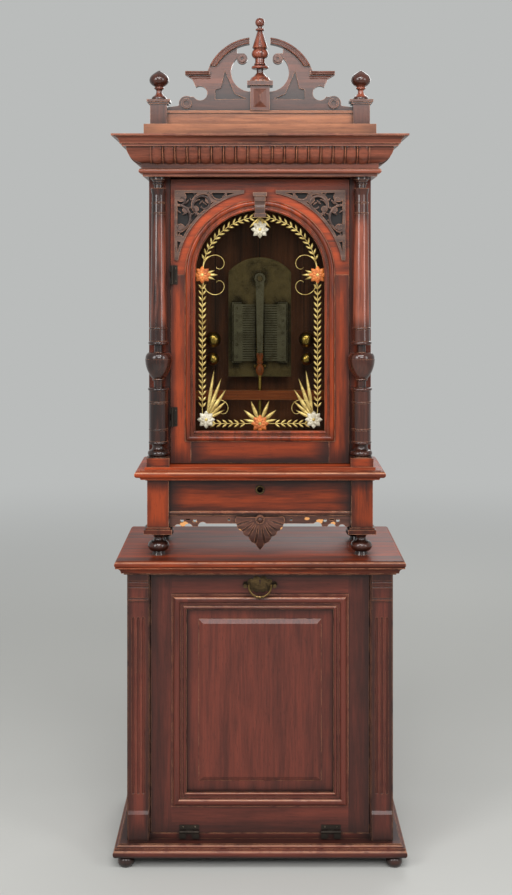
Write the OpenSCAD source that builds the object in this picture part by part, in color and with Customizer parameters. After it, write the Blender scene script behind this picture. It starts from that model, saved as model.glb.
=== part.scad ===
// Upright disc music box: a glazed case on a cabinet that stores the tune discs.
// Frame: +X to the viewer's right, front towards -Y, +Z up, origin on the floor under the middle.
// All sizes are in millimetres.

/* [Disc cabinet] */
// Height of the bun feet
bun_h = 27; // [20:1:40]
// Radius of the bun feet
bun_r = 20.5; // [16:0.5:26]
// Height of the moulded plinth
plinth_h = 33; // [28:1:45]
// How far the plinth and the top board stand out from the carcass
plinth_over = 32; // [26:1:40]
// Width of the cabinet carcass
cab_w = 659; // [620:1:720]
// Depth of the cabinet carcass, stile face to back
cab_d = 412; // [380:1:450]
// Height of the cabinet carcass
cab_h = 660; // [640:1:720]
// Thickness of the cabinet's boards
board = 18; // [14:1:24]
// Thickness of the back boards
back_board = 10; // [6:1:14]
// Width of the corner stiles
stile_w = 56; // [52:1:64]
// Thickness of the corner stiles
stile_t = 26; // [22:1:32]
// Height of the sill under the flap
sill_h = 14; // [10:1:20]
// Height of the moulded top board
top_h = 37; // [34:1:46]

/* [Pilasters] */
// Width of the applied pilasters
pilaster_w = 50.5; // [44:0.5:52]
// Thickness of the applied pilasters
pilaster_t = 6; // [4:0.5:9]
// Height of the pilaster base blocks
pilaster_base_h = 74; // [60:1:90]
// Height of the pilaster capitals
pilaster_cap_h = 66; // [50:1:80]
// Distance between flutes
flute_pitch = 12.6; // [11:0.1:14]
// Radius of a flute
flute_r = 3.6; // [2.5:0.1:4.5]

/* [Flap] */
// Gap around the flap and the door
leaf_gap = 2.2; // [1.8:0.1:4]
// Thickness of the flap frame
flap_t = 22; // [20:1:28]
// How far the flap's face stands behind the stile face
flap_setback = 5; // [4:0.5:8]
// Width of the frame around the flap's moulding
flap_border = 52; // [46:1:58]
// Width of the raised moulding
bolection_w = 37; // [30:1:44]
// How far the raised moulding stands out
bolection_t = 12; // [8:1:13]
// Width of the sunken margin around the panel field
margin_w = 30; // [22:1:40]
// Radius of the hinge pins
pin_r = 1.5; // [1.2:0.1:2]
// Radius of the hinge knuckles
knuckle_r = 3.5; // [3:0.1:4.5]
// Length of a hinge
hinge_l = 48; // [36:1:60]
// Distance of each flap hinge from the middle
flap_hinge_x = 176; // [140:1:200]
// Radius of the bail pull
bail_r = 28; // [24:1:34]
// Radius of the bail's wire
bail_wire = 2.6; // [2:0.1:3.2]
// How far the lock bolt slides
bolt_travel = 8; // [6:0.5:10]

/* [Disc storage] */
// Diameter of a tune disc
disc_d = 480; // [440:1:500]
// Thickness of a tune disc
disc_t = 1; // [0.8:0.1:1.5]
// Number of stored discs
disc_count = 9; // [1:1:12]
// Distance between stored discs
disc_pitch = 16; // [12:1:20]
// Width of a rack bar
rack_w = 30; // [20:1:40]

/* [Upper case] */
// Width of the upper case
case_w = 564; // [540:1:600]
// Depth of the upper case
case_d = 240; // [225:1:280]
// How far the case stands behind the cabinet's stile face
case_setback = 25; // [15:1:40]
// Height of the turned feet
foot_h = 56; // [50:1:70]
// Height of the square caps on the feet
foot_cap_h = 16; // [12:1:20]
// Width of the corner posts
post_w = 53.6; // [48:0.2:58]
// Height of the base between feet and waist
base_h = 118; // [112:1:130]
// Height of the waist ledge
ledge_h = 33.5; // [28:0.5:40]
// Overhang of the waist ledge
ledge_over = 30; // [22:1:36]
// Height of the case from waist to cornice
case_h = 725.5; // [700:0.5:760]
// How far the door's face stands behind the posts
door_setback = 49; // [46:1:56]
// Distance of the column axes in from the case's sides
column_x = 27; // [22:1:30]
// Height of the blocks under the columns
block_h = 21.5; // [16:0.5:28]
// Width of the blocks under the columns
block_w = 56.6; // [50:0.2:60]
// Radius of the column's urn
urn_r = 34; // [30:0.5:35]

/* [Door] */
// Thickness of the door
door_t = 24; // [20:1:28]
// Radius of the glass arch and half the width of the glass opening
arch_r = 163.5; // [155:0.5:168]
// Height of the cornice above the arch's centre
arch_rise = 246; // [230:0.5:262]
// Height of the glass opening's lower edge above the case bottom
glass_rise = 84.5; // [75:0.5:100]
// Width of the moulding around the glass
glazing_w = 26.5; // [22:0.5:30]
// How far the moulding stands out from the door
glazing_t = 10; // [7:0.5:10]
// Thickness of the glass
glass_t = 3; // [2:0.5:5]

/* [Crown] */
// Height of the cornice
cornice_h = 100; // [96:1:110]
// Overhang of the cornice
cornice_over = 82; // [78:1:90]
// Distance between the cornice's carved lobes
lobe_pitch = 30; // [26:1:34]
// Width of the step above the cornice
step_w = 580; // [560:1:600]
// Height of the step above the cornice
step_h = 31; // [26:1:38]
// Width of the corner pedestals
pedestal_w = 42; // [36:1:48]
// Height of the corner pedestals without caps
pedestal_h = 53; // [46:1:60]
// Height of the gallery rail
rail_h = 34; // [30:1:40]
// Thickness of the pediment board
pediment_t = 20; // [16:1:26]
// Radius of the pediment's swan-neck arcs
swan_r = 128; // [120:1:134]
// Width of the centre block
centre_w = 48; // [44:1:54]

/* [Movement] */
// Width of the bedplate
bed_w = 164; // [150:1:176]
// Height of the bedplate
bed_h = 312; // [295:1:330]
// Thickness of the bedplate
bed_t = 10; // [8:1:14]
// Distance of the bedplate's face behind the door's face
bed_depth = 114; // [112:1:120]
// Number of star wheels
star_count = 24; // [8:1:26]
// Distance between star wheels
star_pitch = 6.2; // [5:0.1:7]
// Outer radius of a star wheel
star_r = 9; // [7:0.5:10]
// Length of the pressure arm from spindle to handle tip
arm_l = 250; // [230:1:255]
// Radius of the larger bells
bell_r = 21; // [17:0.5:24]

/* [Motor] */
// Radius of the spring barrel
barrel_r = 43; // [36:1:44]
// Radius of the great wheel's crown teeth at their middle
crown_r = 56; // [55:0.5:58]
// Number of crown teeth
crown_teeth = 60; // [60:12:60]
// Number of teeth on the pinions
pinion_teeth = 12; // [12:12:12]
// Radius of the winding arbor
arbor_r = 6; // [5:0.5:7]
// Radius of the hole for the winding crank
crank_bore_r = 7; // [6:0.5:9]
// Radius of the drive arbor
drive_r = 5; // [4:0.5:6]
// Running clearance of shafts in their bores
run = 0.05; // [0.02:0.01:0.1]

/* [Hidden] */
$fn = 64;
oak = "#6b3f22";
dark_oak = "#4f2c17";
brass = "#b08d4a";
iron = "#3c3a38";
steel = "#8d8f92";
// Room left between pieces that move past each other
clear = 0.4;
// Overlap that lets cuts run through a face
cut = 1;

// Heights
z_plinth = bun_h;
z_cab = z_plinth + plinth_h;
z_top = z_cab + cab_h;
z_table = z_top + top_h;
z_cap = z_table + foot_h;
z_base = z_cap + foot_cap_h;
z_ledge = z_base + base_h;
z_case = z_ledge + ledge_h;
z_cornice = z_case + case_h;
z_step = z_cornice + cornice_h;
z_gallery = z_step + step_h;
z_arch = z_cornice - arch_rise;
z_glass = z_case + glass_rise;
// Depths
depth = cab_d + cornice_over - case_setback;
y_cab = cornice_over - case_setback - depth / 2;
y_cab_back = y_cab + cab_d;
y_case = y_cab + case_setback;
y_case_back = y_case + case_d;
y_door = y_case + door_setback;
y_flap = y_cab + flap_setback;
// Half widths
cab_hw = cab_w / 2;
case_hw = case_w / 2;
flap_hw = cab_hw - stile_w - leaf_gap;
door_hw = case_hw - post_w - leaf_gap;
// Flap heights
z_flap = z_cab + sill_h + 1;
flap_h = cab_h - sill_h - 1 - leaf_gap * 2;
z_flap_top = z_flap + flap_h;

// A block between two corners
module block(x0, x1, y0, y1, z0, z1) {
    translate([x0, y0, z0]) cube([x1 - x0, y1 - y0, z1 - z0]);
}

// The same piece on the left and on the right
module pair() {
    children();
    mirror([1, 0, 0]) children();
}

// A flat outline drawn as seen from the front, given a thickness towards the back
module plate(y, t) {
    translate([0, y + t, 0]) rotate([90, 0, 0]) linear_extrude(t) children();
}

// A round bar along Y
module bar_y(x, z, y0, y1, r) {
    translate([x, y0, z]) rotate([-90, 0, 0]) cylinder(r = r, h = y1 - y0);
}

// A round bar along X
module bar_x(y, z, x0, x1, r) {
    translate([x0, y, z]) rotate([0, 90, 0]) cylinder(r = r, h = x1 - x0);
}

// A moulded slab with mitred corners. Its children draw the edge's section: x is the distance out
// from the face below and y is the height, and the section reaches $reach back from that face.
module mitred_slab(hw, front, back) {
    intersection() {
        translate([0, back, 0]) rotate([90, 0, 0]) linear_extrude(back - front + hw) {
            let ($reach = hw) translate([hw, 0]) children();
            let ($reach = hw) mirror([1, 0]) translate([hw, 0]) children();
        }
        translate([0, front, 0]) rotate([90, 0, -90]) linear_extrude(4 * hw, center = true) {
            let ($reach = back - front) children();
        }
    }
}

// One course of a moulding's section
module course(out, z0, z1) {
    translate([-$reach, z0]) square([$reach + out, z1 - z0]);
}

// A round nose on a moulding's section
module nose(out, z, r) {
    translate([out - r, z]) circle(r);
    course(out - r, z - 0.95 * r, z + 0.95 * r);
}

// Sections of turned pieces: x is the radius and y is the height
module taper(z0, z1, r0, r1) {
    polygon([[0, z0], [r0, z0], [r1, z1], [0, z1]]);
}

module ring(z, r, b) {
    translate([r - b, z]) circle(b);
    taper(z - 0.9 * b, z + 0.9 * b, r - b, r - b);
}

module hollow(z0, z1, r) {
    difference() {
        taper(z0, z1, r, r);
        translate([r + 0.5, (z0 + z1) / 2]) circle((z1 - z0) / 2);
    }
}

// A swelling from height z0 to z1, widest at height z, with a rounded side of radius bow
module swell(z0, z1, z, r, bow) {
    intersection() {
        translate([r - bow, z]) circle(bow);
        taper(z0, z1, r + cut, r + cut);
    }
}

// A gear's outline with straight teeth
module toothed(r_root, r_tip, n, width) {
    circle(r_root);
    for (i = [0 : n - 1])
        rotate(360 * i / n) translate([0, -width / 2]) polygon([[0, 0], [r_tip, width * 0.2],
            [r_tip, width * 0.8], [0, width]]);
}

// Sections swept both ways and crossed, which gives a panel with mitred edges around the middle of
// the front. Its child draws one edge: x runs inwards from the edge to $reach, y stands forward.
module mitred_panel(hw, hh) {
    intersection() {
        rotate([180, 0, 0]) linear_extrude(2 * hh + 4 * cut, center = true) two_edges(hw) children();
        multmatrix([[0, 0, 1, 0], [0, -1, 0, 0], [1, 0, 0, 0]])
            linear_extrude(2 * hw + 4 * cut, center = true) two_edges(hh) children();
    }
}

module two_edges(half) {
    let ($reach = half) translate([-half, 0]) children();
    let ($reach = half) mirror([1, 0]) translate([-half, 0]) children();
}

// Disc cabinet
bun_inset = 30;
bun_x = cab_hw + plinth_over - bun_inset;
bun_y = [y_cab - pilaster_t - plinth_over + bun_inset, y_cab_back - bun_inset];

module bun_feet() {
    color(dark_oak)
        pair() for (y = bun_y)
            translate([bun_x, y, 0]) rotate_extrude() swell(0, bun_h, bun_h / 2, bun_r, bun_h * 0.6);
}

module cabinet_plinth() {
    nose_r = plinth_h / 3;
    color(dark_oak) mitred_slab(cab_hw, y_cab - pilaster_t, y_cab_back) {
        nose(plinth_over, z_plinth + nose_r, nose_r);
        course(plinth_over - 4, z_plinth + plinth_h * 0.6, z_plinth + plinth_h * 0.76);
        difference() {
            course(plinth_over - 6, z_plinth + plinth_h * 0.7, z_plinth + plinth_h * 0.94);
            translate([plinth_over - 5, z_cab]) circle(plinth_h * 0.23);
        }
        course(plinth_over - 15, z_plinth + plinth_h * 0.9, z_cab);
    }
}

y_in = y_flap + flap_t + 2;
y_in_back = y_cab_back - back_board;
in_hw = cab_hw - board;
z_floor = z_cab + board;

module cabinet_floor() {
    color(oak) block(-in_hw, in_hw, y_in, y_in_back, z_cab, z_floor);
}

module cabinet_sides() {
    color(oak) pair() block(in_hw, cab_hw, y_cab + stile_t, y_cab_back, z_cab, z_top);
}

module cabinet_back() {
    color(dark_oak) block(-in_hw, in_hw, y_in_back, y_cab_back, z_cab, z_top);
}

module cabinet_stiles() {
    color(oak) pair() block(cab_hw - stile_w, cab_hw, y_cab, y_cab + stile_t, z_cab, z_top);
}

flute_gap = 44;

module pilasters() {
    x = cab_hw - stile_w / 2;
    proud = pilaster_t + 4;
    z_low = z_cab + pilaster_base_h + flute_gap;
    z_high = z_top - pilaster_cap_h - flute_gap;
    color(oak) pair() difference() {
        translate([x, y_cab, 0]) rotate([90, 0, -90]) linear_extrude(pilaster_w, center = true)
            difference() {
                union() {
                    translate([0, z_cab]) square([pilaster_t, cab_h]);
                    polygon([[0, z_cab], [proud, z_cab], [proud, z_cab + pilaster_base_h - 8],
                        [pilaster_t, z_cab + pilaster_base_h], [0, z_cab + pilaster_base_h]]);
                    translate([0, z_top - pilaster_cap_h]) square([proud, pilaster_cap_h]);
                }
                for (down = [0.29, 0.48, 0.91])
                    translate([proud, z_top - pilaster_cap_h * down]) circle(2.4);
            }
        for (i = [-1 : 1]) translate([x + i * flute_pitch, y_cab - pilaster_t - 1, 0]) {
            translate([0, 0, z_low]) cylinder(r = flute_r, h = z_high - z_low);
            for (z = [z_low, z_high]) translate([0, 0, z]) sphere(flute_r);
        }
    }
}

module flap_sill() {
    hw = cab_hw - stile_w;
    color(oak) block(-hw, hw, y_flap, y_in, z_cab, z_cab + sill_h);
}

// Lock bolt's place on the flap
z_bolt = z_flap_top - 1;
y_bolt = y_flap + flap_t + 8;
bolt_hw = 10;
bolt_t = 6;

module cabinet_top() {
    nose_r = top_h * 0.24;
    nose_out = plinth_over - 3;
    color(oak) difference() {
        mitred_slab(cab_hw, y_cab - pilaster_t, y_cab_back) {
            course(7, z_top, z_top + top_h * 0.14);
            difference() {
                course(nose_out - 3, z_top + top_h * 0.12, z_top + top_h * 0.5);
                translate([nose_out - 2, z_top + top_h * 0.13]) circle(top_h * 0.36);
            }
            course(nose_out - 2, z_top + top_h * 0.49, z_top + top_h * 0.55);
            nose(nose_out, z_table - nose_r, nose_r);
            course(nose_out - nose_r, z_table - 2 * nose_r, z_table);
        }
        block(-bolt_hw - cut, bolt_hw + cut, y_bolt - bolt_t / 2 - cut, y_bolt + bolt_t / 2 + cut,
            z_top - cut, z_bolt + bolt_travel + cut);
    }
}

disc_r = disc_d / 2;
z_disc = z_floor + 3 + disc_r;
y_disc = [for (i = [0 : disc_count - 1]) y_in_back - 40 - i * disc_pitch];
rack_x = 130;
rack_h = disc_r - sqrt(disc_r * disc_r - rack_x * rack_x) + 34;

module disc_rack() {
    color(dark_oak) pair() difference() {
        block(rack_x - rack_w / 2, rack_x + rack_w / 2, y_disc[disc_count - 1] - 20, y_in_back,
            z_floor, z_floor + rack_h);
        for (y = y_disc)
            bar_y(0, z_disc, y - disc_t / 2 - clear, y + disc_t / 2 + clear, disc_r + clear);
    }
}

module tune_discs() {
    color(brass) for (y = y_disc) difference() {
        bar_y(0, z_disc, y - disc_t / 2, y + disc_t / 2, disc_r);
        bar_y(0, z_disc, y - disc_t, y + disc_t, 4);
    }
}

// Flap
border_low = flap_border + 14;
border_top = flap_border - 5;
ring_hw = flap_hw - flap_border;
ring_hh = (flap_h - border_low - border_top) / 2;
ring_z = z_flap + border_low + ring_hh;
lap = 12;
panel_sink = 4;

module flap_frame() {
    color(oak) difference() {
        block(-flap_hw, flap_hw, y_flap, y_flap + flap_t, z_flap, z_flap_top);
        block(lap - ring_hw, ring_hw - lap, y_flap - cut, y_flap + flap_t + cut,
            ring_z - ring_hh + lap, ring_z + ring_hh - lap);
    }
}

module flap_moulding() {
    roll = bolection_t - 3;
    crest = 4 + roll;
    color(dark_oak) translate([0, y_flap, ring_z]) difference() {
        mitred_panel(ring_hw, ring_hh) {
            square([$reach, 4]);
            translate([lap + 0.2, -panel_sink]) square([$reach - lap - 0.2, panel_sink + 1]);
            intersection() {
                translate([crest, 3]) circle(roll);
                square([$reach, bolection_t + cut]);
            }
            translate([crest, 0]) square([$reach - crest, bolection_t]);
        }
        mitred_panel(ring_hw, ring_hh) difference() {
            union() {
                translate([crest, 3]) square([$reach - crest, bolection_t]);
                translate([bolection_w, -2 * panel_sink])
                    square([$reach - bolection_w, bolection_t + 2 * panel_sink]);
            }
            translate([crest, 3]) circle(roll);
            translate([crest, 0]) square([bolection_w - crest, 5]);
        }
    }
    color(dark_oak) translate([0, y_flap - 4.5, ring_z])
        bead_frame(ring_hw - bolection_w + 4.5, ring_hh - bolection_w + 4.5, 4);
}

// A frame of round beads that meet in mitres, around the middle of the front
module bead_frame(hw, hh, r) {
    over = 2 * r;
    pair() intersection() {
        translate([hw, 0, -hh - over]) cylinder(r = r, h = 2 * (hh + over));
        plate(-over, 2 * over) polygon([[hw - over, over - hh], [hw + over, -over - hh],
            [hw + over, hh + over], [hw - over, hh - over]]);
    }
    for (side = [-1, 1]) intersection() {
        bar_x(0, side * hh, -hw - over, hw + over, r);
        plate(-over, 2 * over) polygon([[over - hw, side * (hh - over)], [hw - over, side * (hh - over)],
            [hw + over, side * (hh + over)], [-hw - over, side * (hh + over)]]);
    }
}

field_hw = ring_hw - bolection_w - margin_w;
field_hh = ring_hh - bolection_w - margin_w + 4;

module flap_panel() {
    y_back = y_flap + flap_t - 6;
    fit = 0.2;
    color(oak) {
        block(lap + fit - ring_hw, ring_hw - lap - fit, y_flap + panel_sink, y_back,
            ring_z - ring_hh + lap + fit, ring_z + ring_hh - lap - fit);
        translate([0, y_flap, ring_z]) mitred_panel(field_hw, field_hh)
            polygon([[0, -panel_sink - cut], [0, 1 - panel_sink], [11, 2], [$reach, 2],
                [$reach, -panel_sink - cut]]);
    }
}

// Bail pull
z_pull = z_flap_top - 23;
y_bail = y_flap - bolection_t - bail_wire - 3.4;
post_r = 4.5;
bail_collar_r = bail_wire + 0.7;
post_x = bail_r + bail_collar_r + clear + post_r;
stub_r = 1.8;

module pull_plate() {
    plate_t = 2;
    // Lobes of the plate's outline, each by its place beside and above the posts and its radius
    lobes = [[8.5, 11.5, 9], [23, 6, 7.5], [post_x, 0, post_r + 2], [20, -9, 8], [7, -11.5, 8.5]];
    color(brass) difference() {
        union() {
            plate(y_flap - plate_t, plate_t) difference() {
                union() {
                    translate([-23, z_pull - 12]) square([46, 24]);
                    translate([-post_x, z_pull - 4]) square([2 * post_x, 8]);
                    for (side = [-1, 1], l = lobes) translate([side * l[0], z_pull + l[1]]) circle(l[2]);
                }
                translate([0, z_pull + 9]) circle(2.6);
                translate([-1.2, z_pull]) square([2.4, 9]);
            }
            for (side = [-1, 1]) bar_y(side * post_x, z_pull, y_bail - post_r, y_flap - cut, post_r);
        }
        bar_x(y_bail, z_pull, -post_x - 20, post_x + 20, stub_r + run);
    }
}

module flap_bail() {
    color(brass) translate([0, y_bail, z_pull]) {
        rotate([-90, 0, 0]) rotate_extrude(angle = 180) translate([bail_r, 0]) circle(bail_wire);
        pair() bar_x(0, 0, bail_r - 2, post_x + post_r, stub_r);
        pair() translate([bail_r, 0, -1]) cylinder(r = bail_collar_r, h = 4.5);
        for (turn = [-16, 0, 16])
            rotate([0, turn, 0]) translate([0, 0, -bail_r]) rotate([0, 90, 0])
                cylinder(r = bail_wire + 1.4, h = 4, center = true);
    }
}

module flap_lock() {
    y0 = y_flap + flap_t;
    color(iron) difference() {
        block(-26, 26, y0, y0 + 16, z_flap_top - 66, z_flap_top - 12);
        block(-bolt_hw - clear, bolt_hw + clear, y_bolt - bolt_t / 2 - clear,
            y_bolt + bolt_t / 2 + clear, z_flap_top - 60, z_flap_top);
    }
}

module lock_bolt() {
    color(steel) block(-bolt_hw, bolt_hw, y_bolt - bolt_t / 2, y_bolt + bolt_t / 2,
        z_flap_top - 60 + clear, z_bolt);
}

// Hinges: the outer knuckles and the pin are fixed, the middle knuckle turns
y_flap_pin = y_flap - 5;
z_flap_pin = z_flap + 4;
knuckle_l = hinge_l / 3;
leaf_t = 1.5;

module flap_hinge_leaves() {
    color(brass) pair() difference() {
        union() {
            bar_x(y_flap_pin, z_flap_pin, flap_hinge_x - knuckle_l / 2 + clear,
                flap_hinge_x + knuckle_l / 2 - clear, knuckle_r);
            block(flap_hinge_x - knuckle_l / 2 + clear, flap_hinge_x + knuckle_l / 2 - clear,
                y_flap_pin, y_flap, z_flap_pin + 2, z_flap_pin + 5);
            block(flap_hinge_x - hinge_l / 2, flap_hinge_x + hinge_l / 2, y_flap - leaf_t, y_flap,
                z_flap_pin + knuckle_r + 1, z_flap_pin + 16);
        }
        bar_x(y_flap_pin, z_flap_pin, flap_hinge_x - hinge_l, flap_hinge_x + hinge_l, pin_r + run);
    }
}

door_pin = [-(door_hw - 4.2), y_door - glazing_t];
door_hinge_z = [z_case + 120, z_arch];

module hinge_butts() {
    z_leaf = z_cab + 3;
    color(brass) {
        pair() {
            bar_x(y_flap_pin, z_flap_pin, flap_hinge_x - hinge_l / 2, flap_hinge_x + hinge_l / 2, pin_r);
            for (side = [-1, 1]) translate([flap_hinge_x + side * knuckle_l, 0, 0]) {
                bar_x(y_flap_pin, z_flap_pin, -knuckle_l / 2, knuckle_l / 2, knuckle_r);
                block(-knuckle_l / 2, knuckle_l / 2, y_flap_pin - 1, y_flap_pin + 1, z_leaf, z_flap_pin);
                block(-knuckle_l / 2, knuckle_l / 2, y_flap_pin - 1, y_flap, z_leaf, z_leaf + 8);
            }
        }
        for (z = door_hinge_z) translate([door_pin[0], door_pin[1], z]) {
            translate([0, 0, -hinge_l / 2]) cylinder(r = pin_r, h = hinge_l);
            for (side = [-1, 1]) translate([0, 0, side * knuckle_l - knuckle_l / 2]) {
                cylinder(r = knuckle_r, h = knuckle_l);
                translate([-4.2 - leaf_gap, -1, 0]) cube([4.2 + leaf_gap, 2, knuckle_l]);
                translate([-4.2 - leaf_gap, -1, 0]) cube([0.8, glazing_t + door_t, knuckle_l]);
            }
        }
    }
}

// Upper case
post_in = case_hw - post_w;
foot_y = [y_case + post_w / 2, y_case_back - post_w / 2];
z_base_floor = z_base + 15;
base_floor_t = 12;
z_motor = z_base_floor + base_floor_t;
z_wind = z_base + 93;

module case_feet() {
    color(dark_oak) pair() for (y = foot_y)
        translate([case_hw - post_w / 2, y, z_table]) rotate_extrude() {
            taper(0, foot_h * 0.24, 17, 14);
            swell(foot_h * 0.18, foot_h * 0.62, foot_h * 0.4, 27, foot_h * 0.235);
            hollow(foot_h * 0.58, foot_h * 0.94, 21);
            taper(foot_h * 0.92, foot_h, 21, 25);
        }
}

module case_posts() {
    half = post_w / 2;
    color(oak) pair() for (y = foot_y) translate([case_hw - half, y, 0]) {
        block(-half - 8, half + 8, -half - 8, half + 8, z_cap, z_base - 5);
        block(-half - 4, half + 4, -half - 4, half + 4, z_base - 5.5, z_base);
        block(-half, half, -half, half, z_base, z_ledge);
    }
}

module base_panels() {
    inner = [y_case + post_w, y_case_back - post_w];
    color(oak) {
        pair() block(case_hw - 22, case_hw - 8, inner[0], inner[1], z_base_floor, z_ledge);
        block(-post_in, post_in, y_case_back - 22, y_case_back - 8, z_base_floor, z_ledge);
        block(-post_in, post_in, y_case + 24, y_case_back - 22, z_base_floor, z_motor);
    }
}

collar_r = crank_bore_r + 2.5;
panel_y = y_case + 12;
panel_t = 12;

module winding_panel() {
    z0 = z_base + 29;
    color(oak) difference() {
        union() {
            block(-post_in, post_in, panel_y, panel_y + panel_t, z0, z_ledge);
            block(-post_in, post_in, panel_y - 5, panel_y + 1, z0, z0 + 6);
            bar_x(panel_y - 1, z0 + 7, -post_in, post_in, 3.4);
        }
        bar_y(0, z_wind, panel_y - 10, panel_y + panel_t + cut, collar_r + run);
    }
}

module winding_collar() {
    color(brass) translate([0, panel_y + panel_t, z_wind]) rotate([90, 0, 0]) rotate_extrude() {
        translate([crank_bore_r, 0]) square([collar_r - crank_bore_r, panel_t]);
        translate([crank_bore_r, panel_t]) square([collar_r - crank_bore_r + 2, 2]);
        translate([collar_r - 0.4, panel_t + 1.8]) circle(1.7);
    }
}

// Carved apron: a strip with a scrolled bracket at each post, and a domed shell whose grooves
// spread from its root
shell_hw = 62;
shell_drop = 85;
shell_ribs = 9;
shell_scallop = 4;
shell_dome_r = 220;
shell_t = 20;
groove_tilt = 12;
root_r = 11;
strip_h = 20;
bracket_w = 84;

// Straight sides that meet in a point below the root, cut off where the shell reaches its full width
function shell_reach(turn) =
    min(shell_drop / (cos(turn) + abs(sin(turn))), shell_hw / max(abs(sin(turn)), 0.1));

module shell_outline() {
    polygon([for (turn = [-90 : 2.5 : 90])
        let (r = shell_reach(turn) - shell_scallop * (1 - abs(cos(shell_ribs * turn))))
        [r * sin(turn), -r * cos(turn)]]);
}

module apron_shell(y) {
    difference() {
        intersection() {
            plate(y - shell_t, shell_t) shell_outline();
            translate([0, y - shell_t + shell_dome_r, 0]) sphere(shell_dome_r);
        }
        for (turn = [-70 : 180 / shell_ribs : 71])
            rotate([0, turn, 0]) translate([0, y - shell_t, -2 * root_r]) rotate([groove_tilt, 0, 0])
                mirror([0, 0, 1]) cylinder(r1 = 1.6, r2 = 4.4, h = shell_drop - root_r);
    }
    bar_y(0, -root_r / 2, y - shell_t - 4, y - 7, root_r);
    translate([0, y - shell_t - 2, -root_r / 2]) sphere(root_r - 3);
}

module apron_wing() {
    w = post_in - 1;
    top = z_base + 28;
    scroll = w - bracket_w;
    difference() {
        translate([0, z_base + 1]) square([w, top - z_base - 1]);
        translate([-1, z_base]) square([scroll + 1, top - strip_h - z_base]);
        translate([scroll, z_base]) circle(12);
        translate([scroll + 36, z_base - 3]) circle(11);
        translate([w - 22, z_base - 3]) circle(9);
        for (x = [scroll + 20, scroll + 52]) translate([x, z_base + 15]) circle(4.5);
        translate([scroll + 31, z_base + 17]) square([11, 3.4]);
        translate([shell_hw + 16, z_base + 18]) circle(4);
    }
}

module apron() {
    y = y_case + 14;
    color(dark_oak) {
        plate(y - 4, 10) pair() apron_wing();
        translate([0, 0, z_base + 27]) apron_shell(y);
    }
}

y_open = [y_door + 8, y_case_back - 16];

module waist_ledge() {
    nose_r = ledge_h * 0.24;
    color(oak) difference() {
        mitred_slab(case_hw, y_case, y_case_back) {
            course(4, z_ledge, z_ledge + ledge_h * 0.12);
            difference() {
                course(ledge_over - 6, z_ledge + ledge_h * 0.1, z_ledge + ledge_h * 0.4);
                translate([ledge_over - 4, z_ledge + ledge_h * 0.04]) circle(ledge_h * 0.33);
            }
            nose(ledge_over, z_ledge + ledge_h * 0.52, nose_r);
            course(ledge_over - 11, z_ledge + ledge_h * 0.7, z_ledge + ledge_h * 0.82);
            course(6, z_ledge + ledge_h * 0.8, z_case);
        }
        block(-post_in, post_in, y_open[0], y_open[1], z_ledge - cut, z_case + cut);
    }
}

column_y = y_door - 23;
z_column = z_case + block_h;

module column_blocks() {
    color(oak) pair() translate([case_hw - column_x, 0, 0])
        block(-block_w / 2, block_w / 2, y_door - 51, y_door, z_case, z_column);
}

module column_section() {
    b = z_column;
    t = z_cornice;
    taper(b, b + 3, 27, 27);
    ring(b + 10, 27.5, 8);
    hollow(b + 17, b + 36, 24.5);
    ring(b + 37, 25.5, 4);
    taper(b + 38, b + 170, 23.5, 23.5);
    for (z = [b + 70, b + 138]) ring(z, 25.2, 2);
    ring(b + 171, 27, 4);
    taper(b + 170, b + 264, 12, 12);
    ring(b + 195, 16, 3);
    swell(b + 197, b + 247, b + 247, urn_r, 76);
    swell(b + 246, b + 263, b + 249, urn_r - 0.6, 17);
    taper(b + 262, b + 290, 11, 11);
    ring(b + 287, 26, 5);
    taper(b + 288, t - 44, 22, 17);
    ring(b + 324, 24, 2.5);
    for (z = [t - 91, t - 65]) ring(z, 19, 1.8);
    taper(t - 45, t - 28, 17, 20);
    taper(t - 29, t - 6, 12, 12);
    ring(t - 16, 14.5, 3);
    taper(t - 12, t - 6, 14, 18);
    taper(t - 6.5, t, 20, 20);
}

module columns() {
    color(dark_oak) pair() translate([case_hw - column_x, column_y, 0]) rotate_extrude() column_section();
}

// The front stiles stand back behind the columns
y_stile = column_y + urn_r + 1;
stile_depth = 20;

module case_sides() {
    color(oak) pair() block(case_hw - board, case_hw, y_stile + stile_depth, y_case_back, z_case, z_cornice);
}

module case_back() {
    hw = case_hw - board;
    color(dark_oak) block(-hw, hw, y_case_back - back_board, y_case_back, z_case, z_cornice);
}

module case_stiles() {
    color(oak) pair() block(post_in, case_hw, y_stile, y_stile + stile_depth, z_case, z_cornice);
}

// Cornice with a row of carved lobes on its rounded band
band_out = 8;
band_top = 72;
band_r = 40;
lobe_r = 24;
lobe_proud = 3;
lobe_w = 24.8;
rib_w = 2.6;

module lobe() {
    multmatrix([[0, 0, 1, 0], [-1, 0, 0, 0], [0, -1, 0, 0]])
        rotate_extrude(angle = 90) intersection() {
            translate([band_r - lobe_r + lobe_proud, 0]) circle(lobe_r);
            translate([band_r - 2 * lobe_proud, -lobe_w / 2]) square([lobe_r, lobe_w]);
        }
}

module lobe_rib() {
    multmatrix([[0, 0, 1, 0], [-1, 0, 0, 0], [0, -1, 0, 0]])
        linear_extrude(rib_w, center = true) intersection() {
            circle(band_r + lobe_proud - 0.6);
            square(band_r + lobe_proud);
        }
}

// Lobes side by side along X, with ribs between them
module lobe_row(length) {
    n = floor(length / lobe_pitch);
    start = -(n - 1) * lobe_pitch / 2;
    for (i = [0 : n - 1]) translate([start + i * lobe_pitch, 0, 0]) lobe();
    for (i = [0 : n]) translate([start + (i - 0.5) * lobe_pitch, 0, 0]) lobe_rib();
}

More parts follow.
